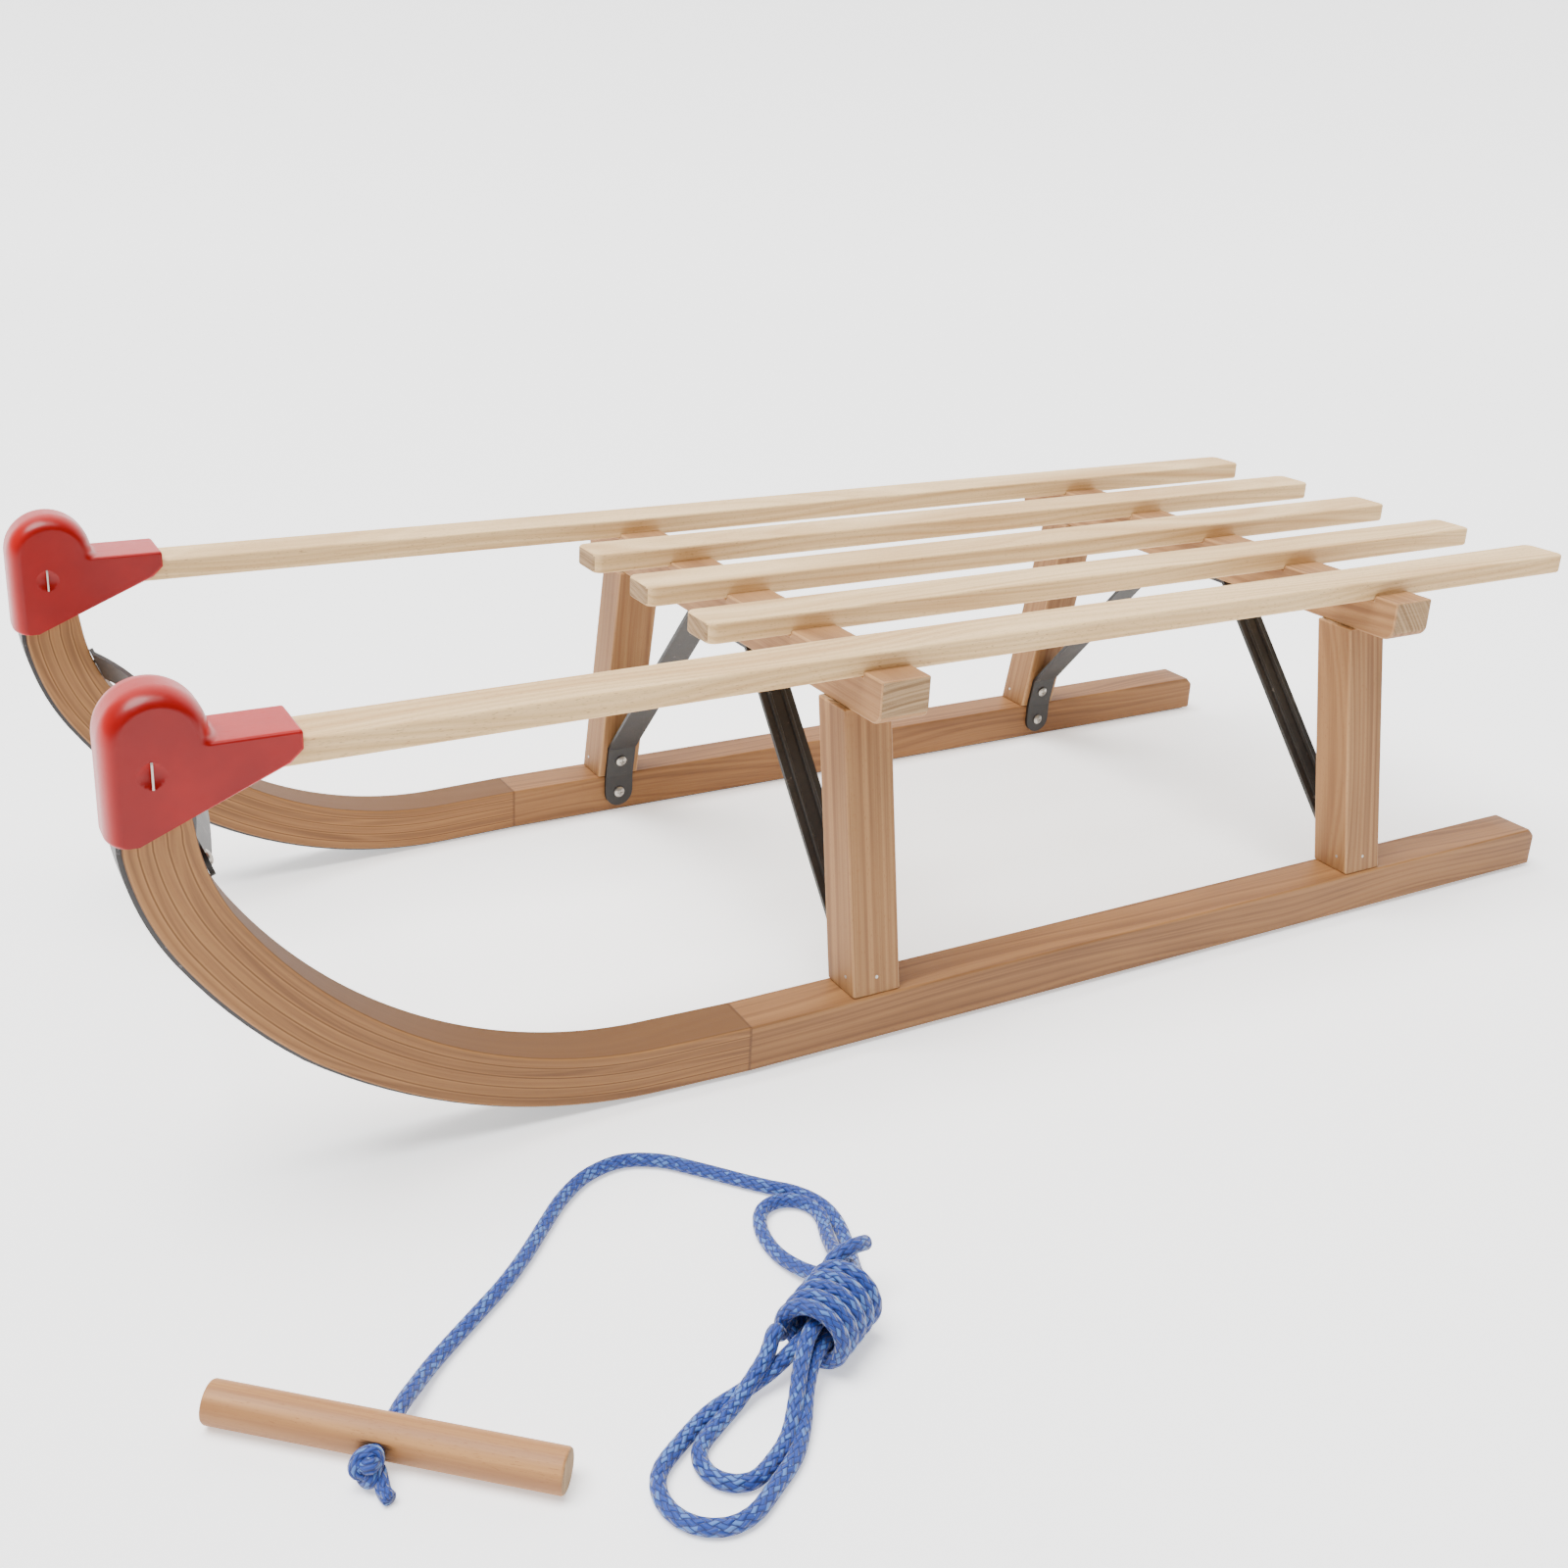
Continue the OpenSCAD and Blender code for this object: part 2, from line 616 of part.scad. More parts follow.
module rope_tube() {
    n = rope_sides;
    last = len(centres) - 1;
    walls = [for (i = [0 : last - 1], k = [0 : n - 1])
        [i * n + k, i * n + (k + 1) % n, (i + 1) * n + (k + 1) % n, (i + 1) * n + k]];
    color(rope_blue) polyhedron(points = [for (i = [0 : last]) each ring(i)],
        faces = concat(walls, [[for (k = [n - 1 : -1 : 0]) k]],
            [[for (k = [0 : n - 1]) last * n + k]]));
}

// Frame of the grip: +X along its bore, towards the knot
module at_grip() {
    translate([grip_mid[0], grip_mid[1], grip_d / 2]) rotate([0, 0, bore_a]) children();
}

module hank() {
    lower_run = (lower_l - lower_w / 2) * [cos(wrap_a), sin(wrap_a)];
    color(rope_blue) {
        stadium(wrap_mid, wrap_mid + lower_run, lower_w, lobe_h);
        stadium(wrap_mid, upper_end, upper_w, lobe_h + 1);
        translate([wrap_mid[0], wrap_mid[1], 0.01]) rotate([0, 0, wrap_a])
            translate([-wrap_l / 2, -wrap_w / 2, 0]) cube([wrap_l, wrap_w, wrap_w - 2]);
    }
}

module knot() {
    color(rope_blue) at_grip() intersection() {
        union() {
            translate([grip_d / 2 + 6.5, 0, 0.2]) sphere(r = knot_r);
            translate([grip_d / 2 + 8, 4, -2]) sphere(r = 6.5);
            translate([grip_d / 2 + 16, 8, -5]) rotate([0, 90, -40])
                cylinder(d = rope_d, h = 12, center = true);
        }
        translate([grip_d / 2 + 0.4, -40, -grip_d / 2 + 0.2]) cube([40, 80, 40]);
    }
}

module dowel() {
    color(beech_tan) at_grip() difference() {
        rotate([90, 0, 0]) cylinder(d = grip_d, h = grip_l, center = true);
        rotate([0, 90, 0]) cylinder(d = rope_d + 2 * rope_gap, h = 2 * grip_d, center = true);
    }
}

runner();  // runner_left
on_right() runner();  // runner_right
shoe();  // runner_shoe_left
on_right() shoe();  // runner_shoe_right
color(zinc)  // shoe_screws
    for (m = [0, 1], x = shoe_screw_x) mirror([0, m, 0])
        translate([x, runner_out - runner_w / 2, 0.2]) sunk_screw(20, 0);
beam(front_x);  // front_beam
beam(rear_x);  // rear_beam
post(front_x);  // post_front_left
on_right() post(front_x);  // post_front_right
post(rear_x);  // post_rear_left
on_right() post(rear_x);  // post_rear_right
color(zinc)  // post_nails
    for (m = [0, 1], x = [front_x, rear_x]) mirror([0, m, 0]) nail_set(x, 0);
long_slat();  // slat_outer_left
short_slat(1);  // slat_inner_left
short_slat(0);  // slat_centre
short_slat(-1);  // slat_inner_right
on_right() long_slat();  // slat_outer_right
color(zinc)  // slat_screws
    for (x = [front_x, rear_x], y = slat_screw_y)
        translate([x, y, beam_z + 0.2]) sunk_screw(beam_h + slat_t / 2 - 1, 0);
stay(front_x);  // stay_front_left
on_right() stay(front_x);  // stay_front_right
stay(rear_x);  // stay_rear_left
on_right() stay(rear_x);  // stay_rear_right
color(zinc)  // stay_screws
    for (m = [0, 1], x = [front_x, rear_x]) mirror([0, m, 0]) stay_screw_set(x, 0);
tie();  // front_tie
color(zinc)  // tie_screws
    for (m = [0, 1]) mirror([0, m, 0]) tie_screw(0);
cap();  // horn_cap_left
on_right() cap();  // horn_cap_right
color(zinc)  // cap_staples
    for (m = [0, 1]) mirror([0, m, 0]) staple_set(0);
color(zinc)  // horn_screws
    for (m = [0, 1]) mirror([0, m, 0]) horn_screw(0);
rope_tube();  // pull_rope
hank();  // rope_hank
knot();  // rope_knot
dowel();  // grip
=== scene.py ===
from math import atan, atan2, cos, degrees, pi, radians, sin, sqrt, tan

import bmesh
import bpy
import numpy as np
from mathutils import Matrix, Vector


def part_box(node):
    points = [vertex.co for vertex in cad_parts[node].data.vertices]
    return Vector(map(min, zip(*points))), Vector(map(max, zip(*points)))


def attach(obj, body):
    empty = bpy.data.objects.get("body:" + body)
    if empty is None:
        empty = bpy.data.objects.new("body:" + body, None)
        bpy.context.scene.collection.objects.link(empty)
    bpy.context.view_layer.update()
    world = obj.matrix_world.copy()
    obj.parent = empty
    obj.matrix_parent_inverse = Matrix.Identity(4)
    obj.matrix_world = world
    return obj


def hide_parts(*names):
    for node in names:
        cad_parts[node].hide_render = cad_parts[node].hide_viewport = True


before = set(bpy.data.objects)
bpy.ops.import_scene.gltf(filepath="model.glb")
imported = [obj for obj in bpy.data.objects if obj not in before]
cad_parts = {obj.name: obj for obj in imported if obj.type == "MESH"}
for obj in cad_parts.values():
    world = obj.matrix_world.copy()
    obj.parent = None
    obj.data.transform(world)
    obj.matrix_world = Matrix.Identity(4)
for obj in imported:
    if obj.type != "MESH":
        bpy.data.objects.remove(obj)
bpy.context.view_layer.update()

MM = 0.001

# Driving sizes of the sled, in metres and degrees, as the part's source has them
RUNNER_W = 30 * MM
RUNNER_H = 28 * MM
SHOE_T = 2 * MM
BEND_X = 165 * MM
BEND_LEAD = 54 * MM
BEND_R1 = 289 * MM
BEND_A1 = radians(57)
BEND_R2 = 140 * MM
BEND_A2 = radians(25)
BEND_SPREAD = 5 * MM
SPREAD_A = radians(40)
HORN_DROP = 9 * MM
HORN_IN = 15 * MM
SLAT_W = 31 * MM
SLAT_T = 13 * MM
SLAT_CORNER_R = 6 * MM
NOTCH = 3 * MM
BEAM_R = 8 * MM
POST_X = 32 * MM
POST_INSET = 1.8 * MM
CAP_R = 24.4 * MM
CAP_RIM = 7.5 * MM
CAP_RIM_W = 14 * MM
CAP_ROOF = 5.6 * MM
CAP_TIP_FLAT = 6 * MM
ROPE_D = 7 * MM
GRIP_D = 18 * MM
GRIP_L = 152 * MM
ROPE_GAP = 0.4 * MM
BRAID_STRANDS = 8
BRAID_LAY = 1.25
SIDES = {"left": 1, "right": -1}
SHARP_EDGE = radians(35)
SOFT_EDGE = 1.6 * MM
FRAME_EDGE = 1.2 * MM


# ---------------------------------------------------------------- finishes

class Value:
    """A socket that can be used in sums: each operator adds a Math node."""

    def __init__(self, finish, socket):
        self.finish, self.socket = finish, socket

    def maths(self, operation, first, second=0.0):
        return self.finish.node("ShaderNodeMath", {"operation": operation}, {0: first, 1: second})

    def __add__(self, other):
        return self.maths("ADD", self, other)

    def __radd__(self, other):
        return self.maths("ADD", other, self)

    def __sub__(self, other):
        return self.maths("SUBTRACT", self, other)

    def __rsub__(self, other):
        return self.maths("SUBTRACT", other, self)

    def __mul__(self, other):
        return self.maths("MULTIPLY", self, other)

    def __pow__(self, other):
        return self.maths("POWER", self, other)

    def __mod__(self, other):
        return self.maths("FLOORED_MODULO", self, other)

    def __gt__(self, other):
        return self.maths("GREATER_THAN", self, other)

    def __abs__(self):
        return self.maths("ABSOLUTE", self)

    def floor(self):
        return self.maths("FLOOR", self)

    def root(self):
        return self.maths("SQRT", self)


class Finish:
    """A material being made. node() adds any node, and the others are its everyday uses."""

    def __init__(self, name):
        self.material = bpy.data.materials.new(name)
        self.material.use_nodes = True
        self.tree = self.material.node_tree
        self.tree.nodes.clear()

    def node(self, kind, settings, sockets, out=0):
        made = self.tree.nodes.new(kind)
        for name, value in settings.items():
            if name == "stops":
                self.set_stops(made.color_ramp, value)
            else:
                setattr(made, name, value)
        for name, value in sockets.items():
            if isinstance(value, Value):
                self.tree.links.new(value.socket, made.inputs[name])
            else:
                made.inputs[name].default_value = value
        return Value(self, made.outputs[out])

    def set_stops(self, ramp, stops):
        while len(ramp.elements) < len(stops):
            ramp.elements.new(0.5)
        for element, (place, colour) in zip(ramp.elements, stops):
            element.position, element.color = place, (*colour, 1.0)

    def step(self, value, low, high):
        """0 below low and 1 above high, with a smooth slope between them."""
        return self.node("ShaderNodeMapRange", {"interpolation_type": "SMOOTHSTEP"},
                         {"Value": value, "From Min": low, "From Max": high})

    def mix(self, first, second, factor):
        pair = [c if isinstance(c, Value) else (*c, 1.0) for c in (first, second)]
        return self.node("ShaderNodeMix", {"data_type": "RGBA"},
                         {0: factor, 6: pair[0], 7: pair[1]}, out=2)

    def attribute(self, name):
        return self.node("ShaderNodeAttribute", {"attribute_name": name}, {}, out=1)

    def here(self):
        return self.node("ShaderNodeTexCoord", {}, {}, out=3)

    def split(self, vector):
        return [self.node("ShaderNodeSeparateXYZ", {}, {0: vector}, out=i) for i in range(3)]

    def join(self, x, y, z):
        return self.node("ShaderNodeCombineXYZ", {}, {0: x, 1: y, 2: z})

    def stretched(self, vector, scales):
        return self.node("ShaderNodeVectorMath", {"operation": "MULTIPLY"}, {0: vector, 1: scales})

    def noise(self, vector, scale=1.0, detail=2.0, rough=0.5):
        return self.node("ShaderNodeTexNoise", {},
                         {"Vector": vector, "Scale": scale, "Detail": detail, "Roughness": rough})

    def bump(self, height, distance, strength=1.0):
        return self.node("ShaderNodeBump", {},
                         {"Height": height, "Distance": distance, "Strength": strength})

    def surface(self, colour, roughness, normal, **constants):
        sockets = {"Base Color": colour, "Roughness": roughness, "Normal": normal}
        sockets.update({name.replace("_", " "): value for name, value in constants.items()})
        shader = self.node("ShaderNodeBsdfPrincipled", {}, sockets)
        self.node_output(shader)
        return self.material

    def node_output(self, shader):
        out = self.tree.nodes.new("ShaderNodeOutputMaterial")
        self.tree.links.new(shader.socket, out.inputs["Surface"])


def beech_tone(finish, grain, pale, deep, fleck):
    """Beech by its grain attribute: x along the fibres, y and z across them, in metres."""
    _, across, up = finish.split(grain)
    sway = finish.noise(finish.stretched(grain, (3, 12, 12)), detail=1) * 0.03
    heart = (across + sway + 0.045) ** 2.0 + (up + sway + 0.075) ** 2.0
    rings = finish.node("ShaderNodeTexNoise", {"noise_dimensions": "1D"},
                        {"W": heart.root() * 330.0, "Scale": 1.0, "Detail": 2.0})
    fibres = finish.noise(finish.stretched(grain, (14, 900, 900)), detail=3, rough=0.6)
    cloud = finish.noise(finish.stretched(grain, (5, 30, 30)), detail=2)
    dashes = finish.noise(finish.stretched(grain, (330, 2300, 2300)), detail=1, rough=0.4)
    rays = finish.step(dashes, 0.64, 0.74)
    tone = rings * 0.5 + fibres * 0.28 + cloud * 0.45
    wood = finish.mix(deep, pale, finish.step(tone, 0.38, 0.82))
    colour = finish.mix(wood, fleck, rays * 0.55)
    return colour, fibres, rays


def planed_beech(name, pale, deep, fleck, gloss=0.0):
    finish = Finish(name)
    colour, fibres, rays = beech_tone(finish, finish.attribute("grain"), pale, deep, fleck)
    rough = 0.56 - gloss + fibres * 0.16 + rays * 0.08
    normal = finish.bump(fibres * 0.6 - rays * 0.5, 0.12 * MM, 0.6)
    return finish.surface(colour, rough, normal, Specular_IOR_Level=0.35, Coat_Weight=0.06 + gloss,
                          Coat_Roughness=0.35)


def sawn_end(name, pale, deep):
    """End grain: arcs of rings, crossed by fine rays and dotted with pores."""
    finish = Finish(name)
    grain = finish.attribute("grain")
    _, across, up = finish.split(grain)
    heart = ((across + 0.045) ** 2.0 + (up + 0.075) ** 2.0).root()
    rings = finish.node("ShaderNodeTexNoise", {"noise_dimensions": "1D"},
                        {"W": heart * 420.0, "Scale": 1.0, "Detail": 2.0})
    pores = finish.noise(finish.stretched(grain, (200, 3200, 3200)), detail=1)
    saw = finish.noise(finish.stretched(grain, (400, 60, 1500)), detail=2)
    tone = rings * 0.6 + pores * 0.3 + saw * 0.2
    colour = finish.mix(deep, pale, finish.step(tone, 0.35, 0.75))
    normal = finish.bump(pores * 0.5 + saw * 0.5, 0.15 * MM, 0.7)
    return finish.surface(colour, 0.72 + pores * 0.15, normal, Specular_IOR_Level=0.25)


def glued_beech(name, pale, deep, fleck, layers=5):
    """A runner's wood: solid behind the bend, and sawn into glued layers from there on."""
    finish = Finish(name)
    grain = finish.attribute("grain")
    along, across, up = finish.split(grain)
    front = along > 0.0
    level = up * (layers / RUNNER_H)
    layer = level.floor() * front
    shifted = finish.join(along + layer * 0.31, across + layer * 0.017, up + layer * 0.013)
    colour, fibres, rays = beech_tone(finish, shifted, pale, deep, fleck)
    away = abs(level % 1.0 - 0.5)
    joint = finish.step(away, 0.40, 0.475) * front
    halo = finish.step(away, 0.22, 0.48) * front
    light = layer * 0.5 % 1.0
    colour = finish.mix(colour, [c * 0.80 for c in deep], light * 0.25)
    colour = finish.mix(colour, [c * 1.45 for c in pale], halo * 0.55)
    colour = finish.mix(colour, [c * 0.50 for c in deep], joint * 0.75)
    start = finish.step(abs(along - 0.0004), 0.0012, 0.0004)
    colour = finish.mix(colour, [c * 0.62 for c in deep], start * 0.6)
    rough = 0.56 + fibres * 0.16 + joint * 0.1
    normal = finish.bump(fibres * 0.5 - rays * 0.4 - joint * 1.2 - start, 0.14 * MM, 0.7)
    return finish.surface(colour, rough, normal, Specular_IOR_Level=0.35, Coat_Weight=0.06,
                          Coat_Roughness=0.35)


def painted_steel(name, colour, rub):
    """Black paint, thin and slightly brown, rubbed to steel in small spots."""
    finish = Finish(name)
    place = finish.here()
    cloud = finish.noise(place, 38.0, 3, 0.6)
    grit = finish.noise(place, 900.0, 2, 0.6)
    worn = finish.step(finish.noise(place, 160.0, 4, 0.7), 0.66, 0.72)
    paint = finish.mix(colour, [c * 2.2 + 0.004 for c in colour], cloud)
    tone = finish.mix(paint, rub, worn * 0.55)
    rough = 0.30 + cloud * 0.22 + grit * 0.12
    return finish.surface(tone, rough, finish.bump(grit + cloud * 2.0, 0.06 * MM, 0.5),
                          Metallic=worn * 0.7, Specular_IOR_Level=0.5)


def bright_zinc(name, colour):
    finish = Finish(name)
    place = finish.here()
    cloud = finish.noise(place, 700.0, 3, 0.6)
    scratch = finish.noise(finish.stretched(place, (2500, 300, 900)), detail=2)
    tone = finish.mix([c * 0.7 for c in colour], colour, cloud)
    return finish.surface(tone, 0.24 + scratch * 0.25, finish.bump(scratch, 0.03 * MM, 0.5),
                          Metallic=0.95 - cloud * 0.1)


def moulded_plastic(name, bright, deep):
    """Satin red moulding, brighter at its rim as a painted sheen that follows the viewing angle,
    with a faint flow and fine scuffs.
    """
    finish = Finish(name)
    place = finish.here()
    flow = finish.noise(place, 26.0, 3, 0.6)
    skin = finish.noise(place, 420.0, 2, 0.5)
    scratches = finish.noise(finish.stretched(place, (90, 700, 300)), detail=2)
    scuff = finish.step(scratches, 0.60, 0.78)
    # Painted sheen: the red is lightened where the surface is seen edge-on
    rim_sheen = finish.node("ShaderNodeLayerWeight", {}, {"Blend": 0.35}, out=1)
    tone = finish.mix(deep, bright, finish.step(flow * 0.5 + rim_sheen * 0.75, 0.15, 0.75))
    rough = 0.30 + skin * 0.08 + scuff * 0.14
    normal = finish.bump(skin * 0.6 + flow * 3.0, 0.10 * MM, 0.35)
    return finish.surface(tone, rough, normal, Specular_IOR_Level=0.22, Coat_Weight=0.12,
                          Coat_Roughness=0.22)


def braided_cord(name, blue, light, crevice_shade):
    """Round braid by its lay attribute: x along the rope in rope diameters, y once round it."""
    finish = Finish(name)
    along, turn, _ = finish.split(finish.attribute("lay"))
    left = along * BRAID_LAY + turn * float(BRAID_STRANDS)
    right = along * BRAID_LAY - turn * float(BRAID_STRANDS)
    across_left = abs(left % 1.0 - 0.5)
    across_right = abs(right % 1.0 - 0.5)
    over = (left.floor() + right.floor()) % 2.0
    ridge = (0.5 - across_left) * over + (0.5 - across_right) * (1.0 - over)
    cell = finish.join((left.floor() % BRAID_STRANDS) * 1.7, (right.floor() % BRAID_STRANDS) * 2.3,
                       along.floor() * 0.37)
    pick = finish.node("ShaderNodeTexWhiteNoise", {}, {"Vector": cell})
    yarn = finish.noise(finish.join(along * 9.0, turn * 60.0, 0.0), 1.0, 2, 0.6)
    fleck = finish.step(pick, 0.70, 0.76)
    # Painted shade: the blue darkens towards the crevices between the strands
    base = finish.mix(crevice_shade, blue, finish.step(ridge + yarn * 0.18, 0.05, 0.38))
    tone = finish.mix(base, light, fleck * finish.step(ridge, 0.10, 0.30) * 0.75)
    normal = finish.bump(finish.step(ridge, 0.0, 0.42) + yarn * 0.25, 0.55 * MM, 0.9)
    return finish.surface(tone, 0.50 + yarn * 0.25, normal, Sheen_Weight=0.35, Sheen_Roughness=0.4,
                          Specular_IOR_Level=0.4)


def studio_paper(name, white):
    finish = Finish(name)
    tooth = finish.noise(finish.here(), 60.0, 3, 0.6)
    colour = finish.mix([c * 0.985 for c in white], white, tooth)
    return finish.surface(colour, 0.85, finish.bump(tooth, 0.05 * MM, 0.3), Specular_IOR_Level=0.1,
                          Emission_Color=(*white, 1.0), Emission_Strength=0.75)


PALE, DEEP, FLECK = (0.78, 0.55, 0.28), (0.52, 0.30, 0.115), (0.22, 0.09, 0.03)
slat_wood = planed_beech("slat_beech", PALE, DEEP, FLECK)
# Lighter copy of the slat beech for its eased edges: a painted highlight along the rounded edges
slat_edge_highlight = planed_beech("slat_eased_edge_painted_highlight", [c * 1.05 for c in PALE], DEEP, FLECK, 0.06)
frame_wood = planed_beech("frame_beech", (0.36, 0.185, 0.070), (0.19, 0.082, 0.027), FLECK)
# Lighter copy of the frame beech for its eased edges: a painted highlight along the rounded edges
frame_edge_highlight = planed_beech("frame_eased_edge_painted_highlight", (0.46, 0.26, 0.11), (0.28, 0.13, 0.047), FLECK, 0.06)
runner_wood = glued_beech("runner_beech", (0.31, 0.145, 0.048), (0.145, 0.058, 0.017), FLECK)
grip_wood = planed_beech("grip_beech", (0.44, 0.22, 0.08), (0.27, 0.115, 0.038), FLECK, 0.04)
end_wood = sawn_end("sawn_end", (0.42, 0.28, 0.15), (0.20, 0.115, 0.055))
steel = painted_steel("painted_steel", (0.006, 0.0045, 0.0035), (0.20, 0.18, 0.16))
shoe_steel = painted_steel("shoe_steel", (0.020, 0.018, 0.018), (0.30, 0.29, 0.28))
zinc = bright_zinc("zinc", (0.50, 0.47, 0.42))
plastic = moulded_plastic("cap_plastic", (0.40, 0.002, 0.001), (0.20, 0.0005, 0.0005))
rope_weave = braided_cord("rope_braid", (0.010, 0.042, 0.26), (0.075, 0.19, 0.50),
                          (0.002, 0.008, 0.06))


# ---------------------------------------------------------------- camera

CAMERA_PLACE = (0.58207, 0.88322, 0.52082)
CAMERA_TURN = Matrix(((-0.88255674, -0.12161124, 0.45420734),
                      (0.46872066, -0.30425587, 0.82929447),
                      (0.03734372, 0.94479578, 0.32552477)))


def place_camera():
    lens = bpy.data.cameras.new("camera")
    lens.lens, lens.sensor_width = 38.25, 36.0
    lens.shift_x, lens.shift_y = 0.05, -0.078
    camera = bpy.data.objects.new("camera", lens)
    bpy.context.scene.collection.objects.link(camera)
    camera.matrix_world = Matrix.Translation(CAMERA_PLACE) @ CAMERA_TURN.to_4x4()
    bpy.context.scene.camera = camera


place_camera()


# ---------------------------------------------------------------- making pieces

def as_mesh(name, shape):
    """Mesh of a bmesh, which is freed."""
    mesh = bpy.data.meshes.new(name)
    shape.to_mesh(mesh)
    shape.free()
    return mesh


def face_outward(mesh):
    shape = bmesh.new()
    shape.from_mesh(mesh)
    bmesh.ops.recalc_face_normals(shape, faces=shape.faces)
    shape.to_mesh(mesh)
    shape.free()


def mesh_of(name, points, faces):
    mesh = bpy.data.meshes.new(name)
    mesh.from_pydata([tuple(p) for p in points], [], [tuple(f) for f in faces])
    return mesh


def dress(name, mesh, finishes, stands_for, body="sled", smooth=True):
    for finish in finishes:
        mesh.materials.append(finish)
    piece = bpy.data.objects.new(name, mesh)
    bpy.context.scene.collection.objects.link(piece)
    if smooth:
        mesh.shade_smooth()
        piece.modifiers.new("even_shading", "WEIGHTED_NORMAL").keep_sharp = True
    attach(piece, body)
    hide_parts(*stands_for)
    return piece


def set_grain(mesh, along, up, shift):
    """Stores where each point lies in the board: along its fibres, across them and up."""
    x = Vector(along).normalized()
    y = Vector(up).cross(x).normalized()
    axes = np.array([x, y, x.cross(y)])
    points = np.zeros(len(mesh.vertices) * 3)
    mesh.vertices.foreach_get("co", points)
    grain = points.reshape(-1, 3) @ axes.T + np.array(shift)
    layer = mesh.attributes.new("grain", "FLOAT_VECTOR", "POINT")
    layer.data.foreach_set("vector", grain.astype(np.float32).ravel())
    for polygon in mesh.polygons:
        if abs(polygon.normal.dot(x)) > 0.9:
            polygon.material_index = 2


def board(outline, depth, ease):
    """Prism of an outline of 3-D points, swept by depth, with all its edges eased."""
    solid = bmesh.new()
    base = solid.faces.new([solid.verts.new(p) for p in outline])
    swept = bmesh.ops.extrude_face_region(solid, geom=[base])
    moved = [v for v in swept["geom"] if isinstance(v, bmesh.types.BMVert)]
    bmesh.ops.translate(solid, vec=depth, verts=moved)
    bmesh.ops.recalc_face_normals(solid, faces=solid.faces)
    sharp = [e for e in solid.edges if e.calc_face_angle(0) > SHARP_EDGE]
    eased = bmesh.ops.bevel(solid, geom=sharp, offset=ease, segments=3, profile=0.5,
                            affect="EDGES", clamp_overlap=True)
    # The eased faces take the second finish, a lighter copy of the wood: a painted highlight along
    # the edges
    for face in eased["faces"]:
        face.material_index = 1
    return as_mesh("board", solid)


def arc(centre, radius, start, end, count):
    """Points on an arc, angles in degrees."""
    angles = [radians(start + (end - start) * i / count) for i in range(count + 1)]
    return [(centre[0] + radius * cos(a), centre[1] + radius * sin(a)) for a in angles]


# ---------------------------------------------------------------- slats

def slat_outline(low, high, radius):
    """Plan of a straight slat: round corners in an x-y box."""
    x0, x1, y0, y1 = low[0] + radius, high[0] - radius, low[1] + radius, high[1] - radius
    return (arc((x1, y0), radius, -90, 0, 6) + arc((x1, y1), radius, 0, 90, 6)
            + arc((x0, y1), radius, 90, 180, 6) + arc((x0, y0), radius, 180, 270, 6))


def add_slats():
    lift = Vector((0, 0, SLAT_T))
    for i, name in enumerate(("slat_inner_left", "slat_centre", "slat_inner_right")):
        low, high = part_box(name)
        outline = [(x, y, low.z) for x, y in slat_outline(low, high, SLAT_CORNER_R)]
        finish_slat(name, board(outline, lift, SOFT_EDGE), i)
    for i, (name, side) in enumerate(SIDES.items()):
        node = f"slat_outer_{name}"
        low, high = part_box(node)
        rear_y = SLAT_W / 2 + min(abs(low.y), abs(high.y))
        front_y = max(abs(low.y), abs(high.y)) - SLAT_W / 2
        splay_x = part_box("front_beam")[1].x
        rear = slat_outline((low.x, rear_y - SLAT_W / 2), (splay_x, rear_y + SLAT_W / 2),
                            SLAT_CORNER_R)[14:]
        bend = [(splay_x, rear_y - SLAT_W / 2), (high.x, front_y - SLAT_W / 2),
                (high.x, front_y + SLAT_W / 2), (splay_x, rear_y + SLAT_W / 2)]
        outline = [(x, side * y, low.z) for x, y in bend + rear]
        finish_slat(node, board(outline, lift, SOFT_EDGE), i + 3)


def finish_slat(name, mesh, number):
    set_grain(mesh, (1, 0, 0), (0, 0, 1), (0.9 * number, 0.021 * number, 0.013 * number))
    dress("visual_" + name, mesh, [slat_wood, slat_edge_highlight, end_wood], [name])


# ---------------------------------------------------------------- benches

def add_beams():
    for i, name in enumerate(("front_beam", "rear_beam")):
        low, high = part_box(name)
        half, depth = high.y, BEAM_R
        slat_z = high.z - NOTCH
        top = []
        for slat in ("slat_outer_right", "slat_inner_right", "slat_centre", "slat_inner_left",
                     "slat_outer_left"):
            s_low, s_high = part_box(slat)
            y0, y1 = s_low.y, s_high.y
            if slat.startswith("slat_outer"):
                inner = min(abs(y0), abs(y1))
                side = 1 if y0 > 0 else -1
                y0, y1 = sorted([inner * side, (inner + SLAT_W) * side])
            top += [(y0, high.z), (y0, slat_z), (y1, slat_z), (y1, high.z)]
        outline = ([(-half, high.z)] + top + [(half, high.z)]
                   + arc((half - depth, low.z + depth), depth, 0, -90, 8)
                   + arc((-half + depth, low.z + depth), depth, -90, -180, 8))
        front = [(low.x, y, z) for y, z in outline]
        mesh = board(front, Vector((high.x - low.x, 0, 0)), FRAME_EDGE)
        set_grain(mesh, (0, 1, 0), (0, 0, 1), (1.3 * i, 0.03 * i, 0.02))
        dress("visual_" + name, mesh, [frame_wood, frame_edge_highlight, end_wood], [name])


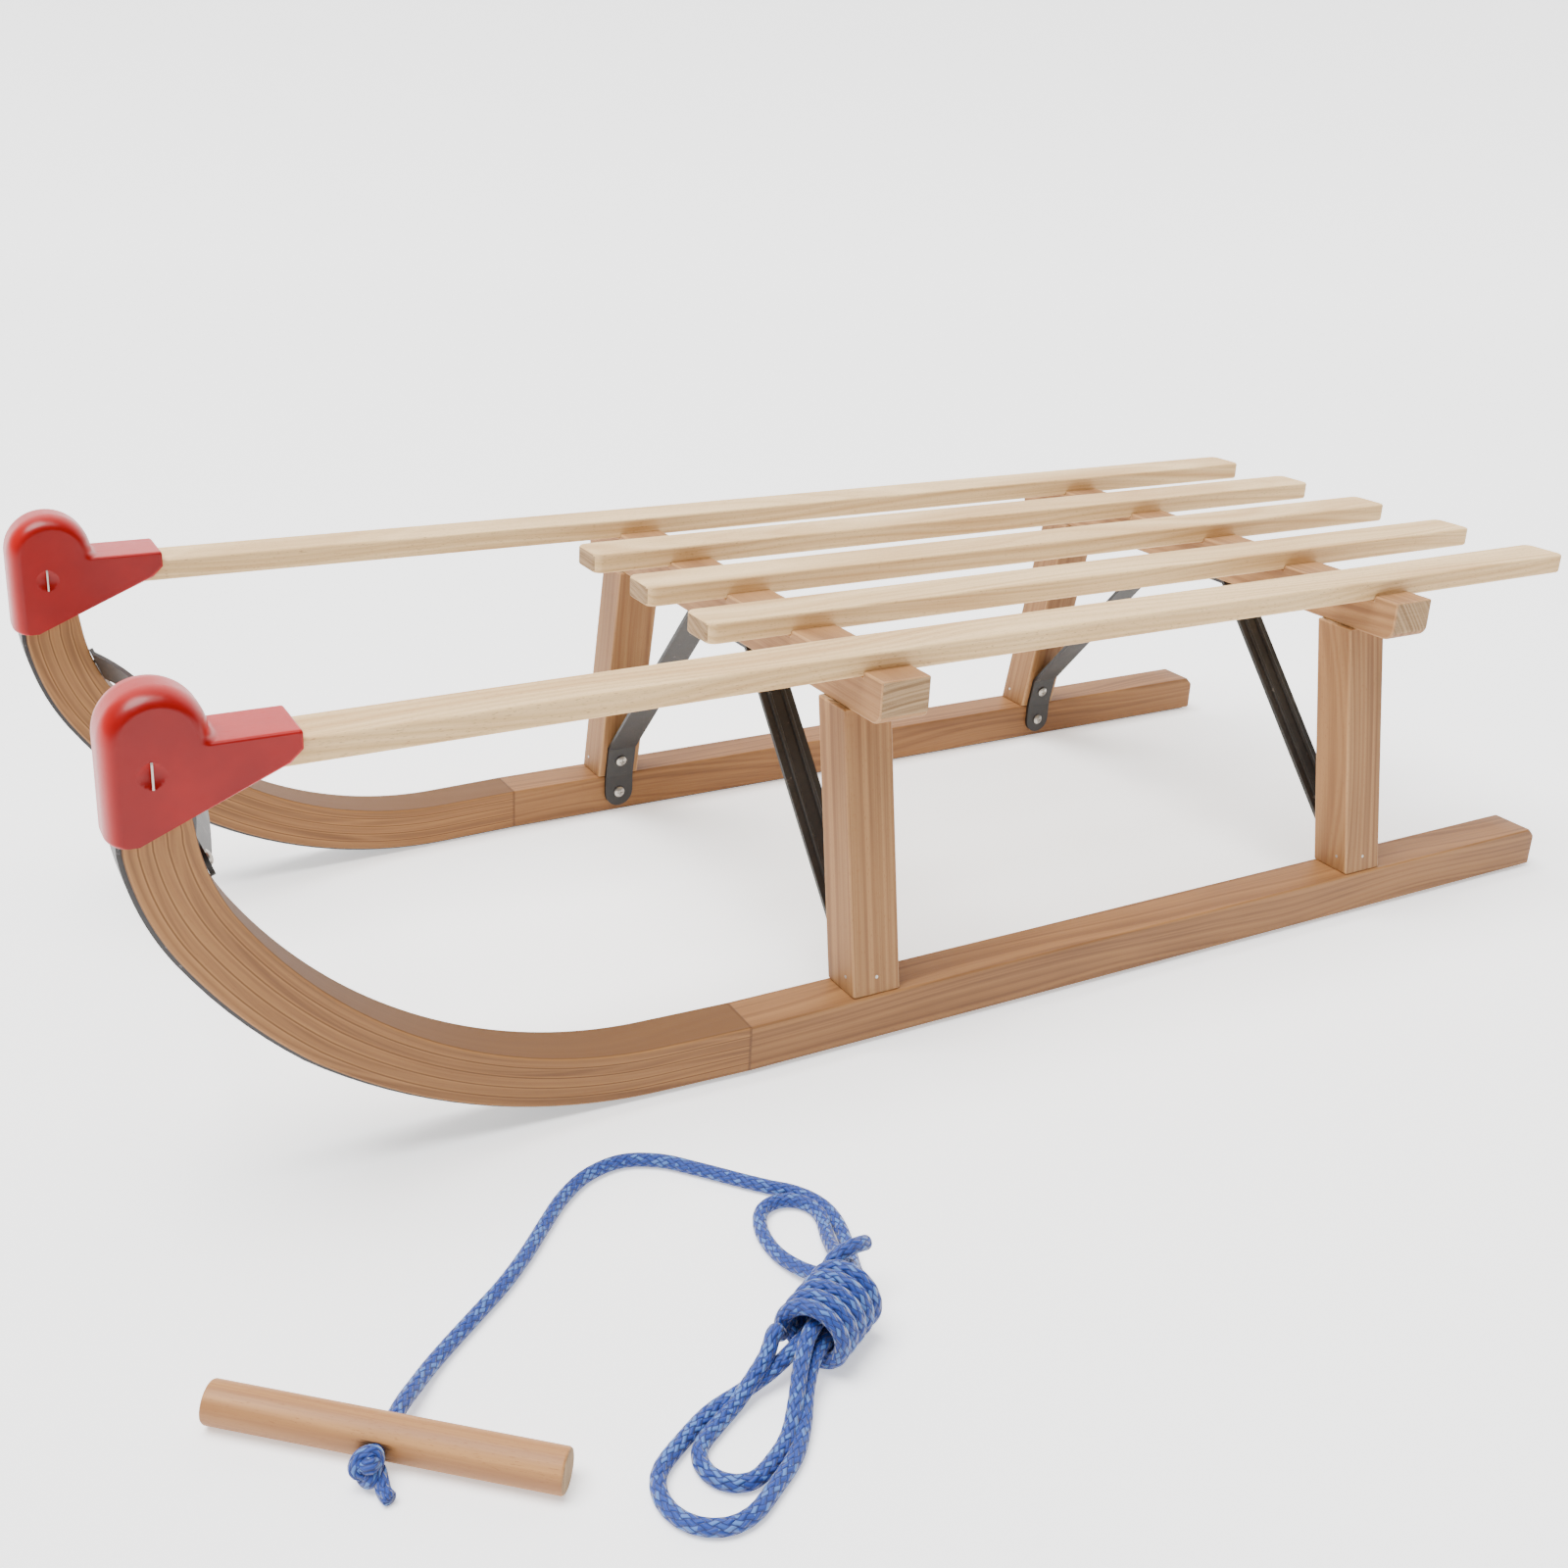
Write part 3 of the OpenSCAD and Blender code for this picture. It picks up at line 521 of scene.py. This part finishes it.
def add_posts():
    shoulder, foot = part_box("front_beam")[0].z, SHOE_T + RUNNER_H
    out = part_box("runner_left")[1].y
    thick = RUNNER_W - POST_INSET
    number = 0
    for where in ("front", "rear"):
        for name, side in SIDES.items():
            node = f"post_{where}_{name}"
            low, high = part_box(node)
            middle = (low.x + high.x) / 2
            top_in = min(abs(low.y), abs(high.y))
            section = [(out - POST_INSET, foot), (out - RUNNER_W, foot), (top_in, shoulder),
                       (top_in + thick, shoulder)]
            outline = [(middle - POST_X / 2, side * y, z) for y, z in section]
            mesh = board(outline, Vector((POST_X, 0, 0)), FRAME_EDGE)
            set_grain(mesh, (0, side * (top_in + RUNNER_W - out), shoulder - foot), (1, 0, 0),
                      (0.7 * number, 0.02 * number, 0.015 * number))
            dress("visual_" + node, mesh, [frame_wood, frame_edge_highlight, end_wood], [node])
            number += 1


# ---------------------------------------------------------------- runners

def bend_centres():
    """Centres of the long and the short bend, in the plane of the runner's side."""
    first = Vector((BEND_LEAD, BEND_R1))
    second = first + (BEND_R1 - BEND_R2) * Vector((sin(BEND_A1), -cos(BEND_A1)))
    return first, second


def bent_point(angle, off, share):
    """Point off above the runner's outer side, moved out by a share of the bend's spread."""
    first, second = bend_centres()
    centre, radius = (first, BEND_R1) if angle <= BEND_A1 else (second, BEND_R2)
    grown = off - BEND_SPREAD * share * (1 - off / (SHOE_T + RUNNER_H))
    return centre + (radius - grown) * Vector((sin(angle), -cos(angle)))


def runner_stations():
    """(place along, section frame) from the rear end to the horn's tip. Each frame turns a
    distance in from the outer side and a height above the shoe into a point of the left runner."""
    rear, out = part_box("runner_left")[0].x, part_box("runner_left")[1].y
    horn_a = BEND_A1 + BEND_A2
    horn_foot = bent_point(horn_a, 0, 0)
    horn_l = (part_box("slat_centre")[1].z - HORN_DROP - horn_foot.y) / sin(horn_a)
    toe = atan(HORN_IN / horn_foot.x)

    def straight(x):
        return lambda deep, up: Vector((x, out - deep, SHOE_T + up))

    def mitred(deep, up):
        return Vector((BEND_X - deep * tan(toe / 2), out - deep, SHOE_T + up))

    def toed(side_point):
        def frame_at(deep, up):
            x, z = side_point(SHOE_T + up)
            return Vector((BEND_X + x, out - x * tan(toe) - deep / cos(toe), z))
        return frame_at

    def on_bend(angle):
        return toed(lambda off: bent_point(angle, off, min(angle / SPREAD_A, 1) ** 2))

    def on_horn(reach):
        ahead = reach * Vector((cos(horn_a), sin(horn_a)))
        return toed(lambda off: bent_point(horn_a, off, max(1 - reach / horn_l, 0)) + ahead)

    stations = [(x - BEND_X, straight(x)) for x in np.linspace(rear, BEND_X - 12 * MM, 24)]
    stations += [(0.0, mitred), (BEND_LEAD / 2, toed(lambda off: (BEND_LEAD / 2, off)))]
    middle = SHOE_T + RUNNER_H / 2
    turned = BEND_LEAD
    for start, end, radius, count in ((0.0, BEND_A1, BEND_R1, 40),
                                      (BEND_A1, horn_a, BEND_R2, 14)):
        for i in range(count):
            angle = start + (end - start) * i / count
            stations.append((turned + (radius - middle) * (angle - start), on_bend(angle)))
        turned += (radius - middle) * (end - start)
    stations += [(turned + reach, on_horn(reach)) for reach in (0.0, horn_l, horn_l + 10 * MM)]
    return stations


def eased_section(width, height, ease, inset=0.0, lowered=0.0):
    """Rounded rectangle of (deep, up) pairs, with its top lowered for the chamfered end."""
    x0, x1, z0, z1 = ease + inset, width - ease - inset, ease + inset, height - ease - inset
    corners = (((x1, z0), -90), ((x1, z1), 0), ((x0, z1), 90), ((x0, z0), 180))
    loop = []
    for centre, start in corners:
        loop += arc(centre, ease, start, start + 90, 3)
    return [(x, min(z, z - lowered) if z > height / 2 else z) for x, z in loop]


def add_runners():
    chamfer = 5.6 * MM
    ease = 1.3 * MM
    stations = runner_stations()
    rear = stations[0][0]
    ends = [(rear, 1.0 * MM, chamfer), (rear + 0.3 * MM, 0.3 * MM, chamfer - 0.5 * MM),
            (rear + 1.0 * MM, 0.0, chamfer - 1.0 * MM), (rear + chamfer, 0.0, 0.0)]
    straight = stations[0][1]
    origin = straight(0, 0)
    rings, grains = [], []
    for place, inset, lowered in ends:
        loop = eased_section(RUNNER_W, RUNNER_H, ease, inset, lowered)
        rings.append([origin + Vector((place - rear, -deep, up)) for deep, up in loop])
        grains += [(place, deep, up) for deep, up in loop]
    loop = eased_section(RUNNER_W, RUNNER_H, ease)
    for place, section in stations[1:]:
        rings.append([section(deep, up) for deep, up in loop])
        grains += [(place, deep, up) for deep, up in loop]
    count = len(loop)
    faces = [list(range(count))[::-1]]
    for i in range(len(rings) - 1):
        for k in range(count):
            a, b = i * count + k, i * count + (k + 1) % count
            faces.append((a, b, b + count, a + count))
    faces.append([(len(rings) - 1) * count + k for k in range(count)])
    for name, side in SIDES.items():
        node = f"runner_{name}"
        points = [(p.x, side * p.y, p.z) for ring in rings for p in ring]
        shift = 0.0 if side > 0 else 0.009
        turned = [f if side > 0 else f[::-1] for f in faces]
        mesh = mesh_of(node, points, turned)
        mesh.validate()
        piece = dress("visual_" + node, mesh, [runner_wood, end_wood], [node])
        layer = piece.data.attributes.new("grain", "FLOAT_VECTOR", "POINT")
        layer.data.foreach_set("vector", np.array([(x, y + shift, z) for x, y, z in grains],
                                                  np.float32).ravel())
        piece.data.polygons[0].material_index = 1


# ---------------------------------------------------------------- horn caps

def cap_outline(head, sleeve, low, radius, centre):
    """Side outline of a cap, x-z round its head's centre. head and sleeve say how far
    it is drawn in at those parts, for the rounded rims."""
    slat_low, slat_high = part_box("slat_outer_left")
    tip = low.z - centre[1]
    rear = low.x - centre[0] + sleeve
    roof = slat_high.z + CAP_ROOF - centre[1] - sleeve
    lip = slat_low.z - centre[1] + sleeve
    r = radius - head
    fillet = 4 * MM
    back = -sqrt((r + fillet) ** 2 - (roof + fillet) ** 2)
    touch = degrees(atan2(roof + fillet, back)) % 360
    outline = arc((0, 0), r, 0, touch, 30)
    outline += arc((back, roof + fillet), fillet, touch - 180, -90, 5)[1:]
    outline += arc((rear + 1.5 * MM, roof - 1.5 * MM), 1.5 * MM, 90, 180, 3)
    outline += [(rear, lip + 9 * MM), (rear + 6 * MM, lip + 3 * MM)]
    corner = 2.5 * MM
    outline += [(radius - CAP_RIM - CAP_TIP_FLAT, tip)]
    outline += arc((r - corner, tip + corner), corner, -90, 0, 5)
    return outline


def rim_inset(depth, reach, fall):
    """How far a rounded rim is drawn in at a depth below the side face: fall at the face
    itself, and nothing from reach on."""
    if depth >= reach:
        return 0.0
    return fall * (1 - sqrt(1 - (1 - depth / reach) ** 2))


def apply_cut(piece, cutter):
    cut = piece.modifiers.new("cut", "BOOLEAN")
    cut.operation, cut.solver, cut.object = "DIFFERENCE", "EXACT", cutter
    bpy.context.view_layer.update()
    result = piece.evaluated_get(bpy.context.evaluated_depsgraph_get())
    shape = bpy.data.meshes.new_from_object(result)
    piece.modifiers.clear()
    piece.data = shape
    bpy.data.objects.remove(cutter)


def loose_object(name, mesh):
    thing = bpy.data.objects.new(name, mesh)
    bpy.context.scene.collection.objects.link(thing)
    return thing


def add_caps():
    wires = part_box("cap_staples")
    staple = ((wires[0].x + wires[1].x) / 2, (wires[0].z + wires[1].z) / 2)
    for name, side in SIDES.items():
        node = f"horn_cap_{name}"
        low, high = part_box(node)
        width = high.y - low.y
        y_mid = (low.y + high.y) / 2
        centre = (high.x - CAP_R, high.z - CAP_R)
        depths = [0, 0.1, 0.4, 0.9, 1.6, 2.6, 3.8, 5.4, 7.4, 9.8, 12.0, 14.0]
        layers = [d * MM for d in depths] + [width - d * MM for d in reversed(depths)]
        points, faces = [], []
        for depth in layers:
            inner = min(depth, width - depth)
            loop = cap_outline(rim_inset(inner, CAP_RIM_W, CAP_RIM),
                               rim_inset(inner, 2 * MM, 1.5 * MM), low, CAP_R, centre)
            points += [(centre[0] + x, y_mid + depth - width / 2, centre[1] + z) for x, z in loop]
        count = len(loop)
        faces.append(list(range(count)))
        for i in range(len(layers) - 1):
            for k in range(count):
                a, b = i * count + k, i * count + (k + 1) % count
                faces.append((a, a + count, b + count, b))
        faces.append([(len(layers) - 1) * count + k for k in range(count)][::-1])
        mesh = mesh_of(node, points, faces)
        face_outward(mesh)
        piece = loose_object("visual_" + node, mesh)
        for face_side in (-1, 1):
            apply_cut(piece, dimple(staple, y_mid + face_side * width / 2, face_side))
        apply_cut(piece, sleeve_hollow(side, low))
        shape = piece.data
        bpy.data.objects.remove(piece)
        dress("visual_" + node, shape, [plastic], [node])


def dimple(staple, y, face_side):
    """Lens that cuts the shallow round dimple that a staple sits in."""
    lens = bmesh.new()
    radius, sunk = 13 * MM, 1.9 * MM
    bmesh.ops.create_uvsphere(lens, u_segments=48, v_segments=24, radius=radius)
    bmesh.ops.translate(lens, verts=lens.verts,
                        vec=(staple[0], y + face_side * (radius - sunk), staple[1]))
    return loose_object("dimple", as_mesh("dimple", lens))


def sleeve_hollow(side, low):
    """Box that opens the sleeve's end round the slat."""
    slat_low, slat_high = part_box(f"slat_outer_{'left' if side > 0 else 'right'}")
    gap = 0.4 * MM
    y = side * (max(abs(slat_low.y), abs(slat_high.y)) - SLAT_W / 2)
    hollow = bmesh.new()
    bmesh.ops.create_cube(hollow, size=1.0)
    bmesh.ops.scale(hollow, verts=hollow.verts, vec=(60 * MM, SLAT_W + 2 * gap, 40 * MM))
    bmesh.ops.translate(hollow, verts=hollow.verts,
                        vec=(low.x + 18 * MM, y, slat_high.z + gap - 20 * MM))
    return loose_object("sleeve_hollow", as_mesh("sleeve_hollow", hollow))


# ---------------------------------------------------------------- steel, screws

def finish_metal():
    black = [f"stay_{where}_{name}" for where in ("front", "rear") for name in SIDES]
    black += ["front_tie"]
    shoes = [f"runner_shoe_{name}" for name in SIDES]
    bright = ["stay_screws", "tie_screws", "cap_staples", "shoe_screws", "slat_screws",
              "horn_screws", "post_nails"]
    for nodes, finish in ((black, steel), (shoes, shoe_steel), (bright, zinc)):
        for name in nodes:
            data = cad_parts[name].data
            data.materials.clear()
            data.materials.append(finish)


# ---------------------------------------------------------------- rope and grip

# The stretch between the grip and the hank, in millimetres, as the part's source has it
ROUTE = [(437, 374.2, 9), (431, 367, 9), (424.6, 359.3, 9), (418, 351.5, 8), (410, 343, 6),
         (401, 334, 4.3), (390, 325, 3.6), (372, 312, 3.6), (353, 298, 3.6), (336, 283, 3.6),
         (320, 267, 3.6), (304, 252, 3.6), (286, 241, 3.6), (266, 238, 3.6), (248, 246, 3.6),
         (234, 260, 3.6), (216.3, 279.7, 3.6)]
WRAP_MID = Vector((238, 392))
WRAP_A = radians(30)
UPPER_END = Vector((200, 296))
WRAP_Z, WRAP_R = 17.6, 14.0


def upper(along, aside, z):
    """Point of the upper lobe: along from its end away from the wraps, and aside to the left."""
    run = (UPPER_END - WRAP_MID).normalized()
    spot = UPPER_END + along * run + aside * Vector((run.y, -run.x))
    return (spot.x, spot.y, z)


def lower(along, aside, z):
    """Point along the wraps' own line: along towards the lower lobe, and aside to its left."""
    run = Vector((cos(WRAP_A), sin(WRAP_A)))
    spot = WRAP_MID + along * run + aside * Vector((-run.y, run.x))
    return (spot.x, spot.y, z)


def rope_points():
    """The whole rope: lead, first pass and long loop, upper loop, short loop, wraps and end."""
    lead = [upper(4, -10, 3.6), upper(0, 0, 3.6), upper(-6.5, 9, 3.6), upper(-15.5, 15.5, 3.6),
            upper(-28, 19, 3.6), upper(-45, 20, 3.8), upper(-62, 19.5, 6), upper(-76, 18.5, 10.5)]
    long_loop = [lower(-22, 4.4, 13.4), lower(0, 4.6, 13.4), lower(22, 4.6, 13.2),
                 lower(36, 8.5, 8.8), lower(50, 15, 4.6), lower(66, 20.3, 3.6),
                 lower(84, 21.4, 3.6)]
    long_loop += [lower(97 + 21.4 * cos(a), 21.4 * sin(a), 3.6)
                  for a in np.radians([80, 50, 20, -10, -40, -70])]
    long_loop += [lower(84, -21.4, 3.6), lower(66, -20.3, 3.6), lower(50, -15, 4.6),
                  lower(36, -8.5, 8.8), lower(22, -4.6, 13.2), lower(0, -4.6, 13.4),
                  lower(-22, -4.4, 13.4)]
    upper_loop = [upper(-72, 5.5, 9.8), upper(-60, -4.5, 5.5), upper(-47, -13.5, 3.6),
                  upper(-33, -18.6, 3.6)]
    upper_loop += [upper(-22 + 15.2 * sin(a), -3.8 - 15.2 * cos(a), 3.6)
                   for a in np.radians([5, 38, 72, 106, 140, 172])]
    upper_loop += [upper(-36, 11.6, 4.2), upper(-50, 12.0, 7.5), upper(-64, 13.0, 13),
                   upper(-77, 14.6, 18.5)]
    short_loop = [lower(-20, 0.4, 21.6), lower(0, 0, 21.8), lower(20, 0.4, 21.4),
                  lower(34, 4.0, 16.2), lower(47, 9.2, 9.2), lower(60, 13.2, 4.4),
                  lower(72, 14.2, 3.6)]
    short_loop += [lower(80 + 14.2 * cos(a), 14.2 * sin(a), 3.6)
                   for a in np.radians([65, 30, -5, -40, -72])]
    short_loop += [lower(70, -14.2, 3.6), lower(57, -13.6, 4.4), lower(45, -12.4, 9.6),
                   lower(35, -11.8, 14.5), lower(27, -13.0, 20.0)]
    turns, start = 5.0, 195
    steps = int(turns * 14)
    wraps = []
    for i in range(steps + 1):
        angle = radians(start - 360 * turns * i / steps)
        wraps.append(lower(19.5 - 37.5 * i / steps, WRAP_R * cos(angle),
                           WRAP_Z + WRAP_R * sin(angle)))
    end = [lower(-24, -11.8, 24.5), lower(-30, -8.6, 27.2), lower(-37, -6.2, 26.4),
           lower(-44, -5.4, 23.5)]
    everything = ROUTE + lead + long_loop + upper_loop + short_loop + wraps + end
    return [Vector(p) * MM for p in everything]


def smooth_line(points, spacing):
    """Even points on a Catmull-Rom curve through the given ones."""
    ends = [2 * points[0] - points[1]] + points + [2 * points[-1] - points[-2]]
    fine = []
    for i in range(1, len(ends) - 2):
        p0, p1, p2, p3 = ends[i - 1:i + 3]
        t0 = 0.0
        t1 = t0 + max((p1 - p0).length, 1e-6) ** 0.5
        t2 = t1 + max((p2 - p1).length, 1e-6) ** 0.5
        t3 = t2 + max((p3 - p2).length, 1e-6) ** 0.5
        for k in range(12):
            t = t1 + (t2 - t1) * k / 12
            a1 = (t1 - t) / (t1 - t0) * p0 + (t - t0) / (t1 - t0) * p1
            a2 = (t2 - t) / (t2 - t1) * p1 + (t - t1) / (t2 - t1) * p2
            a3 = (t3 - t) / (t3 - t2) * p2 + (t - t2) / (t3 - t2) * p3
            b1 = (t2 - t) / (t2 - t0) * a1 + (t - t0) / (t2 - t0) * a2
            b2 = (t3 - t) / (t3 - t1) * a2 + (t - t1) / (t3 - t1) * a3
            fine.append((t2 - t) / (t2 - t1) * b1 + (t - t1) / (t2 - t1) * b2)
    fine = np.array(fine + [points[-1]])
    for _ in range(3):
        fine[1:-1] = (fine[:-2] + 2 * fine[1:-1] + fine[2:]) / 4
    gaps = np.linalg.norm(np.diff(fine, axis=0), axis=1)
    place = np.concatenate([[0], np.cumsum(gaps)])
    even = np.linspace(0, place[-1], int(place[-1] / spacing) + 1)
    return np.stack([np.interp(even, place, fine[:, k]) for k in range(3)], axis=1), place[-1]


def tube(name, line, diameter, stands_for, sides=24):
    """Round braid along a line: its skin swells over each strand that lies on top."""
    count = len(line)
    ahead = np.gradient(line, axis=0)
    ahead /= np.linalg.norm(ahead, axis=1)[:, None]
    out = np.zeros_like(line)
    side = np.cross(ahead[0], (0.0, 0.0, 1.0))
    for i in range(count):
        side = side - ahead[i] * side.dot(ahead[i])
        side /= np.linalg.norm(side)
        out[i] = side
    up = np.cross(ahead, out)
    steps = np.linalg.norm(np.diff(line, axis=0), axis=1)
    place = np.concatenate([[0], np.cumsum(steps)]) / diameter
    turn = np.arange(sides) / sides
    left = (place[:, None] * BRAID_LAY + turn * BRAID_STRANDS) % 2
    right = (place[:, None] * BRAID_LAY - turn * BRAID_STRANDS) % 2
    swell = 0.5 - 0.25 * (np.cos(pi * left) * np.cos(pi * right))
    radius = diameter / 2 * (0.975 + 0.05 * swell)
    radius[0] *= 0.8
    radius[-1] *= 0.8
    angles = (2 * pi * turn)[None, :, None]
    rim = np.cos(angles) * out[:, None] + np.sin(angles) * up[:, None]
    points = (line[:, None] + radius[:, :, None] * rim).reshape(-1, 3)
    faces = [list(range(sides))[::-1]]
    lay = [(place[0], k / sides, 0.0) for k in range(sides)][::-1]
    for i in range(count - 1):
        for k in range(sides):
            a, b = i * sides + k, i * sides + (k + 1) % sides
            faces.append((a, b, b + sides, a + sides))
            lay += [(place[i], k / sides, 0), (place[i], (k + 1) / sides, 0),
                    (place[i + 1], (k + 1) / sides, 0), (place[i + 1], k / sides, 0)]
    faces.append([(count - 1) * sides + k for k in range(sides)])
    lay += [(place[-1], k / sides, 0.0) for k in range(sides)]
    mesh = mesh_of(name, points.tolist(), faces)
    layer = mesh.attributes.new("lay", "FLOAT_VECTOR", "CORNER")
    layer.data.foreach_set("vector", np.array(lay, np.float32).ravel())
    piece = dress(name, mesh, [rope_weave], stands_for, "pull_rope", smooth=False)
    mesh.shade_smooth()
    return piece


GRIP_MID = Vector((431, 367, 9)) * MM
BORE = Vector((cos(radians(50.3)), sin(radians(50.3)), 0))
GRIP_ALONG = Vector((-BORE.y, BORE.x, 0))


def add_knot():
    """Stopper knot: an overhand knot pulled up against the grip, and its short tail."""
    middle = GRIP_MID + BORE * (GRIP_D / 2 + 7.2 * MM)
    side, up = GRIP_ALONG, Vector((0, 0, 1))
    points = [GRIP_MID + BORE * GRIP_D * 0.3, GRIP_MID + BORE * (GRIP_D / 2 + 0.5 * MM)]
    for i in range(22):
        t = radians(60 + 600 * i / 21)
        ring = 4.4 + 1.7 * cos(1.5 * t)
        points.append(middle + MM * (side * ring * cos(t) * 0.9 + up * ring * sin(t) * 0.85
                                     + BORE * 3.1 * sin(1.5 * t)))
    points += [middle + MM * (side * 8 + BORE * 5 - up * 5.5),
               middle + MM * (side * 12 + BORE * 8 - up * 10)]
    line, _ = smooth_line(points, 0.9 * MM)
    line[:, 2] = np.maximum(line[:, 2], 3.4 * MM)
    return tube("knot", line, 6.2 * MM, ["rope_knot"], 20)


def add_grip():
    """Turned dowel with softened ends and a bore across its middle."""
    half = GRIP_L / 2
    radius = GRIP_D / 2
    sides = 64
    stops = [(-half, radius - 1.3 * MM), (-half + 0.35 * MM, radius - 0.45 * MM),
             (-half + 1.2 * MM, radius)]
    stops += [(x * MM, radius) for x in range(-70, 71, 10)]
    stops += [(-x, r) for x, r in reversed(stops[:3])]
    points, faces = [], [list(range(sides))]
    for x, r in stops:
        for k in range(sides):
            a = 2 * pi * k / sides
            points.append(GRIP_MID + GRIP_ALONG * x + BORE * r * cos(a)
                          + Vector((0, 0, r * sin(a))))
    for i in range(len(stops) - 1):
        for k in range(sides):
            a, b = i * sides + k, i * sides + (k + 1) % sides
            faces.append((a, a + sides, b + sides, b))
    faces.append([(len(stops) - 1) * sides + k for k in range(sides)][::-1])
    mesh = mesh_of("dowel", points, faces)
    face_outward(mesh)
    dowel = loose_object("dowel", mesh)
    drill = bmesh.new()
    turn = Matrix.Translation(GRIP_MID) @ BORE.to_track_quat("Z", "Y").to_matrix().to_4x4()
    bore = ROPE_D / 2 + ROPE_GAP
    bmesh.ops.create_cone(drill, cap_ends=True, segments=40, radius1=bore, radius2=bore,
                          depth=2 * GRIP_D, matrix=turn)
    apply_cut(dowel, loose_object("drill", as_mesh("drill", drill)))
    shape = dowel.data
    bpy.data.objects.remove(dowel)
    set_grain(shape, GRIP_ALONG, (0, 0, 1), (0.4, 0.012, 0.004))
    for polygon in shape.polygons:
        polygon.material_index = 1 if polygon.material_index == 2 else 0
    return dress("visual_grip", shape, [grip_wood, end_wood], ["grip"], "grip")


def add_rope():
    line, length = smooth_line(rope_points(), 0.8 * MM)
    rope = tube("rope", line, ROPE_D, ["pull_rope", "rope_hank"])
    knot, grip = add_knot(), add_grip()


# ---------------------------------------------------------------- studio

def add_studio():
    """Paper that runs back from under the camera and curves up into a backdrop."""
    paper = studio_paper("studio_paper", (0.93, 0.93, 0.93))
    half_width, near, flat, rise_r, top = 16.0, 14.0, 4.0, 5.0, 14.0
    sweep = [(near, 0.0), (0.0, 0.0), (-flat, 0.0)]
    sweep += [(-flat - rise_r * sin(radians(a)), rise_r - rise_r * cos(radians(a)))
              for a in range(6, 91, 6)]
    sweep += [(-flat - rise_r, top)]
    looking = -CAMERA_TURN.col[2]
    ahead = Vector((looking.x, looking.y, 0)).normalized()
    aside = Vector((-ahead.y, ahead.x, 0))
    points, faces = [], []
    for back, z in sweep:
        for x in (-half_width, half_width):
            spot = aside * x - ahead * back
            points.append((spot.x, spot.y, z))
    for i in range(len(sweep) - 1):
        faces.append((2 * i, 2 * i + 1, 2 * i + 3, 2 * i + 2))
    floor_mesh = mesh_of("floor", points, faces)
    floor_mesh.materials.append(paper)
    floor = loose_object("floor", floor_mesh)
    floor_mesh.shade_smooth()
    world = bpy.data.worlds.new("studio")
    world.use_nodes = True
    sky = world.node_tree.nodes["Background"]
    sky.inputs["Color"].default_value = (1.0, 0.99, 0.98, 1.0)
    sky.inputs["Strength"].default_value = 0.35
    bpy.context.scene.world = world
    add_sun("key", (0.36, -0.08, 1.0), 6.4, 40)
    add_lamp("top", (0.2, 0.2, 2.6), (0.0, 0.0, 0.1), 1.6, 30)


def add_sun(name, towards, strength, spread):
    sun = bpy.data.lights.new(name, "SUN")
    sun.energy, sun.angle = strength, radians(spread)
    holder = bpy.data.objects.new(name, sun)
    bpy.context.scene.collection.objects.link(holder)
    holder.rotation_mode = "QUATERNION"
    holder.rotation_quaternion = Vector(towards).to_track_quat("Z", "Y")


def add_lamp(name, place, aim, size, watts):
    lamp = bpy.data.lights.new(name, "AREA")
    lamp.shape, lamp.size, lamp.energy = "DISK", size, watts
    holder = bpy.data.objects.new(name, lamp)
    bpy.context.scene.collection.objects.link(holder)
    holder.location = place
    holder.rotation_mode = "QUATERNION"
    holder.rotation_quaternion = (Vector(aim) - Vector(place)).to_track_quat("-Z", "Y")


add_rope()
add_slats()
add_beams()
add_posts()
add_runners()
add_caps()
finish_metal()
add_studio()
